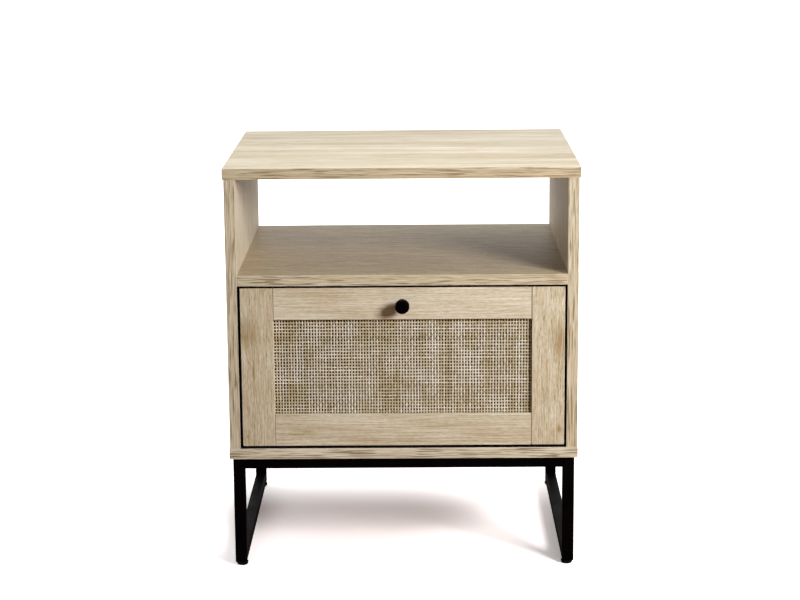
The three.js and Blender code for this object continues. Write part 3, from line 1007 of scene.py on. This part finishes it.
@dataclass
class Cabinet:
    """The five boards, the back panel and what joins them."""

    boards: tuple[tuple[str, OakFoil], ...] = (
        ("top_panel", OakFoil(
            Grain.ACROSS, Axis.Z, (120.0, 31.0, 7.0), streaks=TOP_STREAKS, band_contrast=0.8,
            tones=TOP_TONES, blotches=(
                # Painted shade: the first two blotches darken the top towards the back and at the
                # right front; the third darkens the front edge towards the right.
                Blotch((60.0, 190.0, 558.0), (420.0, 190.0, 60.0), 0.22),
                Blotch((235.0, -40.0, 558.0), (130.0, 120.0, 60.0), 0.25),
                Blotch((190.0, -187.0, 551.0), (150.0, 5.0, 16.0), 0.32)))),
        ("bottom_panel", OakFoil(
            Grain.ACROSS, Axis.Z, (610.0, 83.0, 190.0), band_depth=-0.16)),
        # Painted shade: the shelf's wide faces are printed darker, as shade falls under the top;
        # its edge band keeps nearly the others' tone.
        ("middle_shelf", OakFoil(
            Grain.ACROSS, Axis.Z, (1310.0, 17.0, 260.0), paleness=-0.16, band_depth=-0.19)),
        ("left_side_panel", OakFoil(
            Grain.UPRIGHT, Axis.X, (90.0, 240.0, 31.0), paleness=0.08, band_depth=0.02)),
        ("right_side_panel", OakFoil(
            Grain.UPRIGHT, Axis.X, (770.0, 340.0, 131.0), paleness=0.06, band_depth=0.06)),
    )
    dowels: tuple[str, ...] = tuple(
        f"{joint}_dowel_{end}_{side}" for joint in ("top", "shelf")
        for end in ("front", "back") for side in ("left", "right"))
    screws: tuple[str, ...] = tuple(
        f"carcass_screw_{end}_{side}" for end in ("front", "back") for side in ("left", "right"))
    screw: Screw = Screw(
        head_radius=5 * MM, head_height=3 * MM, shank_radius=3.5 * MM, thread_radius=2.5 * MM,
        length=50 * MM, recess=Recess.HEXAGON)

    def build(self) -> None:
        """Dresses the boards, the back panel and the dowels, and makes the carcass screws."""
        for node, foil in self.boards:
            dress([node], foil.material(f"oak_foil_{node}"))
        dress(["back_panel"], Hardboard().material("hardboard_back"))
        dress(self.dowels, TurnedBeech().material("turned_beech"))
        self.screw.drive("carcass_screws", self.screws)


@dataclass
class WovenPanel:
    """Plain weave of flat paper strands that fills the frame of the drawer front.

    Sizes are in metres. Strand spacing was counted in the photograph: a hole every 3.93 mm across
    and every 4.44 mm up.
    """

    warp_pitch: float = 3.93 * MM
    weft_pitch: float = 4.44 * MM
    warp_width: float = 2.1 * MM
    weft_width: float = 1.95 * MM
    thickness: float = 0.5 * MM
    lift: float = 0.26 * MM
    wander: float = 0.18 * MM
    wander_share: Span = (0.4, 1.0)
    sway_mm: Span = (24.0, 46.0)
    width_spread: float = 0.12
    thinning: float = 0.1
    thinnings_per_sway: float = 2.7
    dye_mean: float = 0.55
    dye_spread: float = 0.1
    margin_share: float = 0.6
    strand_sides: int = 6
    steps_per_crossing: int = 4
    first_hole_x: float = -173.7 * MM
    first_hole_z: float = 347.6 * MM
    seed: int = 11
    warp_tints: Stops = ((0.0, "#b09a70"), (1.0, "#fffaf0"), (0.3, "#cfbd97"), (0.62, "#ebe0cc"))
    weft_tints: Stops = ((0.0, "#a8936a"), (1.0, "#fbf2e2"), (0.35, "#cab892"), (0.7, "#e2d6be"))

    def build(self) -> None:
        """Weaves the panel from a warp that runs up and a weft that runs across."""
        low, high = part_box("woven_panel")
        luck = random.Random(self.seed)
        first_column = self.first_hole_x - self.warp_pitch / 2
        first_row = self.first_hole_z + self.weft_pitch / 2
        columns = self.places(first_column, self.warp_pitch, low.x, high.x, self.warp_width)
        rows = self.places(first_row, self.weft_pitch, low.z, high.z, self.weft_width)
        warp = self.strands(
            columns, low.z, high.z, self.warp_width, first_row, self.weft_pitch, luck, 1.0,
            Matrix(((0, 1, 0), (0, 0, 1), (1, 0, 0))).to_4x4())
        weft = self.strands(
            rows, low.x, high.x, self.weft_width, first_column, self.warp_pitch, luck, -1.0,
            Matrix(((1, 0, 0), (0, 0, 1), (0, 1, 0))).to_4x4())
        for shape in (warp, weft):
            bmesh.ops.translate(shape, vec=(0.0, (low.y + high.y) / 2, 0.0), verts=shape.verts)
        pieces = [
            finish_piece(warp, "woven_warp", PaperStrand(Grain.UPRIGHT, self.warp_tints).material(
                "paper_strand_warp"), Body.DRAWER, ["woven_panel"], HALF_TURN),
            finish_piece(weft, "woven_weft", PaperStrand(Grain.ACROSS, self.weft_tints).material(
                "paper_strand_weft"), Body.DRAWER, (), HALF_TURN),
        ]

    def places(
        self, first: float, pitch: float, low: float, high: float, width: float
    ) -> list[float]:
        """Spreads strands over the panel at a fixed pitch through one known place.

        Args:
            first: a place that a strand takes.
            pitch: from strand to strand.
            low: one edge of the panel.
            high: the other edge.
            width: width of a strand, which stays inside the panel.

        Returns:
            The strands' places, in order.
        """
        start = math.ceil((low + width * self.margin_share - first) / pitch)
        end = math.floor((high - width * self.margin_share - first) / pitch)
        return [first + number * pitch for number in range(start, end + 1)]

    def strands(
        self,
        places: list[float],
        low: float,
        high: float,
        width: float,
        crossing: float,
        pitch: float,
        luck: random.Random,
        side: float,
        turn: Matrix,
    ) -> BMesh:
        """Makes all strands of one direction as waved flat strips.

        Args:
            places: where the strands lie.
            low: start of every strand.
            high: end of every strand.
            width: mean width of a strand.
            crossing: a place where a strand of the other direction crosses.
            pitch: from crossing to crossing.
            luck: source of the strands' small differences.
            side: which side the first strand lies on at that crossing.
            turn: from a strand along X, spread along Y and lifted along Z, to the table's frame.

        Returns:
            The strands.
        """
        whole = bmesh.new()
        tint = whole.verts.layers.float.new(TINT)
        pattern = self.straight_strand(
            low, high, round((high - low) / pitch * self.steps_per_crossing))
        for number, place in enumerate(places):
            # Neighbours cross on opposite sides, which is what makes the weave plain.
            above = side if number % 2 else -side
            own_width = width * (1 + luck.uniform(-self.width_spread, self.width_spread))
            dye = min(1.0, max(0.0, luck.gauss(self.dye_mean, self.dye_spread)))
            phase = luck.uniform(0, FULL_TURN)
            reach = luck.uniform(*self.wander_share) * self.wander
            wave = luck.uniform(*self.sway_mm) * MM
            before = len(whole.verts)
            whole.from_mesh(pattern)
            whole.verts.ensure_lookup_table()
            for vertex in whole.verts[before:]:
                along = vertex.co.x
                swing = math.cos(math.pi * (along - crossing) / pitch)
                run = FULL_TURN * along / wave
                sway = reach * math.sin(run + phase)
                bulge = 1 + self.thinning * math.sin(self.thinnings_per_sway * run + phase)
                vertex.co.y = place + sway + vertex.co.y * own_width * bulge
                vertex.co.z = above * self.lift * swing + vertex.co.z * self.thickness
                vertex[tint] = dye
        bpy.data.meshes.remove(pattern)
        bmesh.ops.transform(whole, matrix=turn, verts=whole.verts)
        return whole

    def straight_strand(self, low: float, high: float, steps: int) -> Mesh:
        """Makes one straight strand along X of unit width and thickness.

        Args:
            low: start of the strand.
            high: end of the strand.
            steps: number of parts along it.

        Returns:
            Its mesh.
        """
        shape = bmesh.new()
        turn = Matrix.Rotation(QUARTER_TURN, 4, "Y") @ Matrix.Rotation(QUARTER_TURN, 4, "Z")
        bmesh.ops.create_cone(
            shape, cap_ends=True, segments=self.strand_sides, radius1=0.5, radius2=0.5,
            depth=high - low, matrix=Matrix.Translation(((low + high) / 2, 0, 0)) @ turn)
        long_edges = [edge for edge in shape.edges
                      if abs(edge.verts[0].co.x - edge.verts[1].co.x) > (high - low) / 2]
        bmesh.ops.subdivide_edges(shape, edges=long_edges, cuts=steps - 1, use_grid_fill=True)
        return used_up(shape, "straight_strand")


@dataclass
class Knob:
    """Turned steel knob, powder coated, with its screw."""

    length: float = 28 * MM
    head_radius: float = 9.6 * MM
    head_height: float = 9 * MM
    dome_height: float = 2.4 * MM
    crown_share: float = 0.82
    crown_drop: float = 0.35 * MM
    crown_rounding: float = 1.2 * MM
    base_radius: float = 6 * MM
    base_height: float = 2 * MM
    base_rounding: float = 0.3 * MM
    neck_radius: float = 4.9 * MM
    neck_start: float = 2.6 * MM
    neck_start_rounding: float = 1.5 * MM
    neck_end: float = 7.4 * MM
    neck_end_rounding: float = 3 * MM
    bore_radius: float = 2.3 * MM
    bore_depth: float = 10.3 * MM
    rounding: float = 0.7 * MM
    sides: int = 72
    coat: PowderCoat = PowderCoat(roughness=(0.34, 0.42))
    screw: Screw = Screw(
        head_radius=4 * MM, head_height=2.4 * MM, shank_radius=2 * MM, thread_radius=2 * MM,
        length=27.7 * MM, recess=Recess.CROSS)

    def build(self) -> None:
        """Turns the knob and makes its screw."""
        rim = self.length - self.dome_height
        knob = turn_profile([
            (0.0, self.bore_depth, 0.0), (self.bore_radius, self.bore_depth, 0.0),
            (self.bore_radius, 0.0, 0.0), (self.base_radius, 0.0, self.base_rounding),
            (self.base_radius, self.base_height, self.rounding),
            (self.neck_radius, self.base_height + self.neck_start, self.neck_start_rounding),
            (self.neck_radius, self.base_height + self.neck_end, self.neck_end_rounding),
            (self.head_radius, rim - self.head_height, self.rounding),
            (self.head_radius, rim, self.rounding),
            (self.head_radius * self.crown_share, self.length - self.crown_drop,
             self.crown_rounding),
            (0.0, self.length, 0.0),
        ], self.sides)
        bmesh.ops.transform(knob, matrix=lying_at(*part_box("knob")), verts=knob.verts)
        finish_piece(knob, "turned_knob", self.coat.material("powder_coat_knob"),
                     Body.DRAWER, ["knob"])
        screw = self.screw.shape()
        bmesh.ops.transform(screw, matrix=lying_at(*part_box("knob_screw")), verts=screw.verts)
        finish_piece(screw, "pan_head_knob_screw", ZincPlate().material("zinc_plate_knob_screw"),
                     Body.DRAWER, ["knob_screw"])


@dataclass
class CamLocks:
    """Four cast cam locks in the drawer sides, which draw the front on."""

    nodes: tuple[str, ...] = tuple(
        f"drawer_cam_{level}_{side}" for level in ("upper", "lower") for side in ("left", "right"))
    radius: float = 6 * MM
    depth: float = 9 * MM
    chamfer: float = 0.5 * MM
    slot_reach: float = 3.7 * MM
    slot_width: float = 1.4 * MM
    slot_depth: float = 2.4 * MM
    sides: int = 40
    cast: ZincPlate = ZincPlate(relief_size=(1.2, 1.2, 1.2))

    def build(self) -> None:
        """Casts the locks, flush with the inner faces of the drawer."""
        shape = turn_profile([
            (0.0, 0.0, 0.0), (self.radius, 0.0, self.chamfer),
            (self.radius, self.depth, self.chamfer), (0.0, self.depth, 0.0)], self.sides)
        long, short = self.slot_reach, self.slot_width / 2
        for reach in ((long, short), (short, long)):
            arm = Vector((*reach, self.slot_depth))
            shape = cut_away(shape, block(-arm, arm))
        finish_piece(repeat(shape, [self.place(node) for node in self.nodes]), "cam_locks",
                     self.cast.material("cast_zinc_cams"), Body.DRAWER,
                     self.nodes)

    @staticmethod
    def place(node: str) -> Matrix:
        """Finds where a lock sits; it is drawn upwards from the face with the slots.

        Args:
            node: name of the lock's node.

        Returns:
            The matrix that puts the lock there.
        """
        low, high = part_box(node)
        on_left = low.x + high.x < 0
        face = high.x if on_left else low.x
        turn = Matrix.Rotation(-QUARTER_TURN if on_left else QUARTER_TURN, 4, "Y")
        return Matrix.Translation((face, (low.y + high.y) / 2, (low.z + high.z) / 2)) @ turn


@dataclass
class Drawer:
    """Drawer front and box."""

    fronts: tuple[tuple[str, OakFoil], ...] = (
        ("drawer_left_stile", OakFoil(
            Grain.UPRIGHT, Axis.Y, (40.0, 410.0, 17.0), False,
            (Blotch((-208.0, -185.0, 332.0), (21.0, 40.0, 38.0), 0.62),
             Blotch((-203.0, -185.0, 279.0), (7.0, 40.0, 16.0), 0.55)))),
        ("drawer_right_stile", OakFoil(
            Grain.UPRIGHT, Axis.Y, (950.0, 530.0, 71.0), False,
            (Blotch((213.0, -185.0, 320.0), (20.0, 40.0, 38.0), 0.62),
             Blotch((213.0, -185.0, 196.0), (5.0, 40.0, 10.0), 0.95)))),
        ("drawer_top_rail", OakFoil(
            Grain.ACROSS, Axis.Y, (330.0, 620.0, 43.0), joint_at=174.6, streaks=LONG_STREAKS,
            paleness=0.1)),
        ("drawer_bottom_rail", OakFoil(
            Grain.ACROSS, Axis.Y, (1450.0, 710.0, 83.0), joint_at=174.9, streaks=LONG_STREAKS,
            paleness=0.03)),
    )
    box_boards: tuple[tuple[str, Grain, Axis, Triple], ...] = (
        ("drawer_left_side", Grain.DEEP, Axis.X, (0.0, 90.0, 500.0)),
        ("drawer_right_side", Grain.DEEP, Axis.X, (210.0, 90.0, 500.0)),
        ("drawer_back", Grain.ACROSS, Axis.Y, (420.0, 90.0, 500.0)),
    )
    box_tones: Stops = ((0.25, "#cdbfa2"), (0.75, "#e4dbc9"))
    box_blush: str = "#c9b596"
    box_pore: str = "#b5a483"
    box_band_contrast: float = 0.9
    bottom: Hardboard = Hardboard(light="#cdbd9c", dark="#b09e7b")
    # Painted shade: the backing is near black, so that the weave's holes read dark.
    backing: Hardboard = Hardboard(light="#3a260a", dark="#1e1204", specular=0.0)
    woven: WovenPanel = field(default_factory=WovenPanel)
    knob: Knob = field(default_factory=Knob)
    cams: CamLocks = field(default_factory=CamLocks)

    def build(self) -> None:
        """Dresses the front and the box, and builds the woven panel, the knob and the locks."""
        for node, foil in self.fronts:
            dress([node], foil.material(f"oak_foil_{node}"))
        for node, grain, wide_face, cut_at in self.box_boards:
            foil = OakFoil(grain, wide_face, cut_at, tones=self.box_tones, blush=self.box_blush,
                           pore=self.box_pore, band_contrast=self.box_band_contrast)
            dress([node], foil.material(f"box_foil_{node}"))
        dress(["drawer_bottom"], self.bottom.material("hardboard_drawer_bottom"))
        dress(["woven_backing"], self.backing.material("hardboard_backing_painted_shade"))
        for part in (self.woven, self.knob, self.cams):
            part.build()


@dataclass
class Slides:
    """The two ball bearing slides, each with a cage of balls between its members."""

    members: tuple[str, ...] = tuple(
        f"{side}_{part}_slide" for side in ("left", "right") for part in ("cabinet", "drawer"))
    cages: tuple[tuple[str, Body, float], ...] = (
        ("left", Body.LEFT_CAGE, 1.0), ("right", Body.RIGHT_CAGE, -1.0))
    passivated: ZincPlate = ZincPlate(dark="#2e3033", light="#44474b")
    sheet: float = 0.6 * MM
    ball_radius: float = 1.5 * MM
    ball_count: int = 6
    ball_segments: int = 20
    ball_rings: int = 12
    cage_end: float = 3 * MM
    ball_across: float = 2.7 * MM
    ball_up: float = 10.7 * MM

    def build(self) -> None:
        """Dresses the members, and bends the cages and sets their balls."""
        plate = self.passivated.material("black_passivated_zinc_slides")
        dress(self.members, plate)
        steel = GroundSteel().material("ground_ball_steel")
        for side, body, inward in self.cages:
            node = f"{side}_ball_cage"
            low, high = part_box(node)
            web_x = low.x if inward > 0 else high.x
            middle_z = (low.z + high.z) / 2
            finish_piece(self.cage(low, high, web_x, middle_z, inward), f"{side}_pressed_cage",
                         plate, body, [node])
            pitch = (high.y - low.y - 2 * self.cage_end) / (self.ball_count - 1)
            spots = [
                Matrix.Translation((web_x + inward * self.ball_across,
                                    low.y + self.cage_end + number * pitch, middle_z + up))
                for up in (-self.ball_up, self.ball_up) for number in range(self.ball_count)]
            ball = bmesh.new()
            bmesh.ops.create_uvsphere(ball, u_segments=self.ball_segments,
                                      v_segments=self.ball_rings, radius=self.ball_radius)
            finish_piece(repeat(ball, spots), f"{side}_cage_balls", steel, body)

    def cage(
        self, low: Vector, high: Vector, web_x: float, middle_z: float, inward: float
    ) -> BMesh:
        """Bends one cage: a web with an arm above and below that the balls sit in.

        Args:
            low: lowest corner of the cage's node.
            high: highest corner of the cage's node.
            web_x: outer face of the web.
            middle_z: height of the slide's middle.
            inward: one where the drawer lies towards +X, and minus one where it lies towards -X.

        Returns:
            The cage.
        """
        arm_x = web_x + inward * (self.ball_across + self.ball_radius - self.sheet)
        reach = self.ball_up + self.sheet / 2
        outer = sorted((web_x, arm_x))
        hollow = sorted((web_x + inward * self.sheet, arm_x + inward * self.sheet))
        strip = block(Vector((outer[0], low.y, middle_z - reach)),
                      Vector((outer[1], high.y, middle_z + reach)))
        return cut_away(strip, block(
            Vector((hollow[0], low.y - self.sheet, middle_z - reach + self.sheet)),
            Vector((hollow[1], high.y + self.sheet, middle_z + reach - self.sheet))))


@dataclass
class Base:
    """The sled base of square tube, its glides and its screws."""

    tubes: tuple[str, ...] = (
        "front_left_leg", "front_right_leg", "back_left_leg", "back_right_leg",
        "left_floor_runner", "right_floor_runner", "left_top_bar", "right_top_bar",
        "front_cross_rail", "back_cross_rail")
    glides: tuple[tuple[str, Body], ...] = (
        ("front_left_glide", Body.FRONT_LEFT_FOOT), ("front_right_glide", Body.FRONT_RIGHT_FOOT),
        ("back_left_glide", Body.BACK_LEFT_FOOT), ("back_right_glide", Body.BACK_RIGHT_FOOT))
    screws: tuple[str, ...] = tuple(
        f"base_screw_{end}_{side}" for end in ("front", "back") for side in ("left", "right"))
    screw: Screw = Screw(
        head_radius=4.4 * MM, head_height=2.6 * MM, shank_radius=2.2 * MM,
        thread_radius=2.2 * MM, length=29.9 * MM, recess=Recess.CROSS)
    glide_radius: float = 8 * MM
    glide_height: float = 4.7 * MM
    sole_radius: float = 6.6 * MM
    sole_height: float = 1.7 * MM
    sole_rounding: float = 0.8 * MM
    side_rounding: float = 1.1 * MM
    collar_rounding: float = 0.5 * MM
    stem_rounding: float = 0.3 * MM
    stem_radius: float = 3 * MM
    stem_length: float = 11 * MM
    sides: int = 48

    def build(self) -> None:
        """Dresses the tubes, and makes the glides and the screws."""
        dress(self.tubes, PowderCoat().material("powder_coat_tube"))
        plastic = MouldedPlastic().material("moulded_polyamide")
        for node, body in self.glides:
            shape = turn_profile(self.glide_profile(), self.sides)
            bmesh.ops.transform(shape, matrix=upright_at(node), verts=shape.verts)
            finish_piece(shape, f"turned_{node}", plastic, body, [node])
        self.screw.drive("base_screws", self.screws)

    def glide_profile(self) -> Profile:
        """Draws a glide: a rounded sole under a collar, and the stem in the runner.

        Returns:
            The glide's profile, up from the floor.
        """
        top, end = self.glide_height, self.glide_height + self.stem_length
        return [
            (0.0, 0.0, 0.0), (self.sole_radius, 0.0, self.sole_rounding),
            (self.glide_radius, self.sole_height, self.side_rounding),
            (self.glide_radius, top, self.collar_rounding),
            (self.stem_radius, top, self.stem_rounding), (self.stem_radius, end, 0.0),
            (0.0, end, 0.0)]


@dataclass(frozen=True)
class Softbox:
    """Square studio lamp, with lengths in metres and its power in watts."""

    name: str
    place: Triple
    aim: Triple
    size: float
    power: float
    mirrored: bool = True

    def build(self) -> None:
        """Adds the lamp and turns it to its aim."""
        light = bpy.data.lights.new(self.name, "AREA")
        light.shape, light.size, light.energy = "SQUARE", self.size, self.power
        lamp = placed(self.name, light)
        lamp.location = self.place
        turn = (Vector(self.aim) - Vector(self.place)).to_track_quat("-Z", "Y")
        lamp.rotation_euler = turn.to_euler()
        lamp.visible_glossy = self.mirrored


@dataclass
class Studio:
    """Pale floor, soft lamps and the photograph's camera.

    The camera was fitted to edges of the table in the photograph. Lengths are in metres. The glow
    of the floor and the room rises smoothly over each span, from its first number to its second.
    """

    eye: Triple = (0.023, -2.871, 0.947)
    pitch: float = math.radians(11.961)
    yaw: float = math.radians(-0.557)
    roll: float = math.radians(0.467)
    sensor: float = 36.0
    lens: float = 91.49
    view_reach: float = 100.0
    floor_radius: float = 30.0
    floor_sides: int = 96
    floor_drop: float = 0.1 * MM
    exposed_paper: Colour = (1.6, 1.49, 1.48, 1.0)
    paper: str = "#7c5c36"
    shadow_glow: float = 0.03
    shadow_middle: Span = (-0.085, 0.06)
    shadow_reach: Span = (0.13, 0.09)
    round_span: Span = (0.9, 2.3)
    round_glow: float = 0.25
    behind_span: Span = (0.07, 0.22)
    behind_glow: float = 0.35
    left_span: Span = (-0.235, -0.30)
    left_glow: float = 0.4
    far_span: Span = (0.4, 2.0)
    far_glow: float = 0.6
    mirrored_span: Span = (0.4, 1.4)
    mirrored_glow: Span = (0.05, 0.65)
    room_span: Span = (-0.1, 0.5)
    room_glow: Span = (0.02, 0.9)
    # The key is not mirrored, because its image would burn out on boards seen at a low angle.
    softboxes: tuple[Softbox, ...] = (
        Softbox("key_softbox", (1.2, -1.5, 1.1), (0.0, -0.187, 0.33), 0.6, 43.0, mirrored=False),
        Softbox("top_softbox", (-0.06, -0.15, 1.45), (-0.06, -0.15, 0.5), 0.7, 5.2),
        Softbox("left_softbox", (-1.3, 0.75, 0.6), (0.0, 0.1, 0.35), 0.8, 4.0),
        Softbox("right_softbox", (1.3, 0.75, 0.6), (0.0, 0.1, 0.35), 0.8, 2.0))

    def build(self) -> None:
        """Sets up the camera, the floor, the lamps and the world."""
        bpy.context.scene.view_settings.view_transform = "Standard"
        self.add_camera()
        self.add_floor()
        for softbox in self.softboxes:
            softbox.build()
        self.light_world()

    def add_camera(self) -> None:
        """Places the camera at the photograph's angle, without a shift."""
        forward = Vector((math.sin(self.yaw) * math.cos(self.pitch),
                          math.cos(self.yaw) * math.cos(self.pitch), -math.sin(self.pitch)))
        right = Vector((math.cos(self.yaw), -math.sin(self.yaw), 0.0))
        down = forward.cross(right)
        tilted_right = math.cos(self.roll) * right + math.sin(self.roll) * down
        tilted_down = math.cos(self.roll) * down - math.sin(self.roll) * right
        lens = bpy.data.cameras.new("photo_camera")
        lens.sensor_width, lens.lens, lens.clip_end = self.sensor, self.lens, self.view_reach
        camera = placed("photo_camera", lens)
        turn = Matrix((tilted_right, -tilted_down, -forward)).transposed()
        camera.matrix_world = Matrix.Translation(self.eye) @ turn.to_4x4()
        bpy.context.scene.camera = camera

    def add_floor(self) -> None:
        """Adds the seamless white floor, which keeps the table's shadow."""
        shape = bmesh.new()
        bmesh.ops.create_circle(shape, cap_ends=True, segments=self.floor_sides,
                                radius=self.floor_radius)
        bmesh.ops.translate(shape, vec=(0, 0, -self.floor_drop), verts=shape.verts)
        mesh = used_up(shape, "studio_floor")
        mesh.materials.append(self.floor_material())
        floor = placed("studio_floor", mesh)

    def floor_material(self) -> Material:
        """Makes white paper that the camera exposes to white, and which bounces less light.

        For the camera the paper glows; the middle of the table's shadow keeps its tone and the glow
        grows away from it, a painted shade that shapes the shadow.
        The table's own gloss mirrors a plainer and less exposed paper.

        Returns:
            The material.
        """
        tree = Tree(bpy.data.materials.new("seamless_paper"))
        rays = tree.add("LightPath").outputs
        seen = rays["Is Camera Ray"]
        where = tree.where["Object"]
        spot = tree.add("Mapping", {
            "Vector": where,
            "Location": (*(-m / r for m, r in zip(self.shadow_middle, self.shadow_reach)), 0.0),
            "Scale": (*(1 / r for r in self.shadow_reach), 1.0)})
        away, gone = (
            tree.add("VectorMath", {0: place}, operation="LENGTH").outputs["Value"]
            for place in (spot, where))
        x, y, _ = tree.add("SeparateXYZ", {0: where}).outputs
        # Painted shade and light: the glow is least round the table's shadow and rises away from
        # it, left of the left leg, behind the table and far off.
        glow: Source = self.shadow_glow
        for value, span, height in (
            (away, self.round_span, self.round_glow), (y, self.behind_span, self.behind_glow),
            (x, self.left_span, self.left_glow), (gone, self.far_span, self.far_glow),
        ):
            rise = self.rise(tree, value, span, (0.0, height))
            glow = tree.add("Math", {0: rise, 1: glow}, operation="ADD")
        mirrored = tree.add("Math", {
            0: rays["Is Glossy Ray"],
            1: self.rise(tree, y, self.mirrored_span, self.mirrored_glow)}, operation="MULTIPLY")
        strength = tree.add("Math", {0: glow, 1: seen, 2: mirrored}, operation="MULTIPLY_ADD")
        tone = tree.add("Mix", {
            "Factor": seen, COLOUR_A: linear(self.paper), COLOUR_B: self.exposed_paper},
            data_type="RGBA").outputs[COLOUR_OUT]
        paper = tree.add("BsdfDiffuse", {"Color": tone})
        light = tree.add("Emission", {"Strength": strength})
        tree.add("OutputMaterial", {"Surface": tree.add("AddShader", {0: paper, 1: light})})
        return tree.owner

    @staticmethod
    def rise(tree: Tree, value: Source, span: Span, heights: Span) -> Node:
        """Rises smoothly from one height to another.

        Args:
            tree: the node tree.
            value: what the rise follows.
            span: where it starts and where it ends.
            heights: what it starts from and what it reaches.

        Returns:
            The risen value.
        """
        return tree.add("MapRange", {
            "Value": value, "From Min": span[0], "From Max": span[1], "To Min": heights[0],
            "To Max": heights[1]}, interpolation_type="SMOOTHSTEP")

    def light_world(self) -> None:
        """Fills the room softly, mostly from the backdrop's side.

        Camera, glossy and transmission rays see the room as plain white.
        """
        world = bpy.data.worlds.new("white_room")
        tree = Tree(world)
        rays = tree.add("LightPath").outputs
        seen: Source = rays["Is Camera Ray"]
        for ray in ("Is Glossy Ray", "Is Transmission Ray"):
            seen = tree.add("Math", {0: seen, 1: rays[ray]}, operation="MAXIMUM")
        _, towards, _ = tree.add("SeparateXYZ", {0: tree.where["Generated"]}).outputs
        fill = self.rise(tree, towards, self.room_span, self.room_glow)
        strength = tree.add("MapRange", {"Value": seen, "To Min": fill, "To Max": 1.0})
        air = tree.add("Background", {"Color": (1.0, 1.0, 1.0, 1.0), "Strength": strength})
        tree.add("OutputWorld", {"Surface": air})
        bpy.context.scene.world = world


def main() -> None:
    """Builds the table's looks and its studio, in order."""
    logging.basicConfig(level=logging.INFO, format="%(message)s")
    for assembly in (Studio(), Cabinet(), Drawer(), Slides(), Base()):
        LOG.info("building %s", type(assembly).__name__)
        assembly.build()


if __name__ == "__main__":
    main()
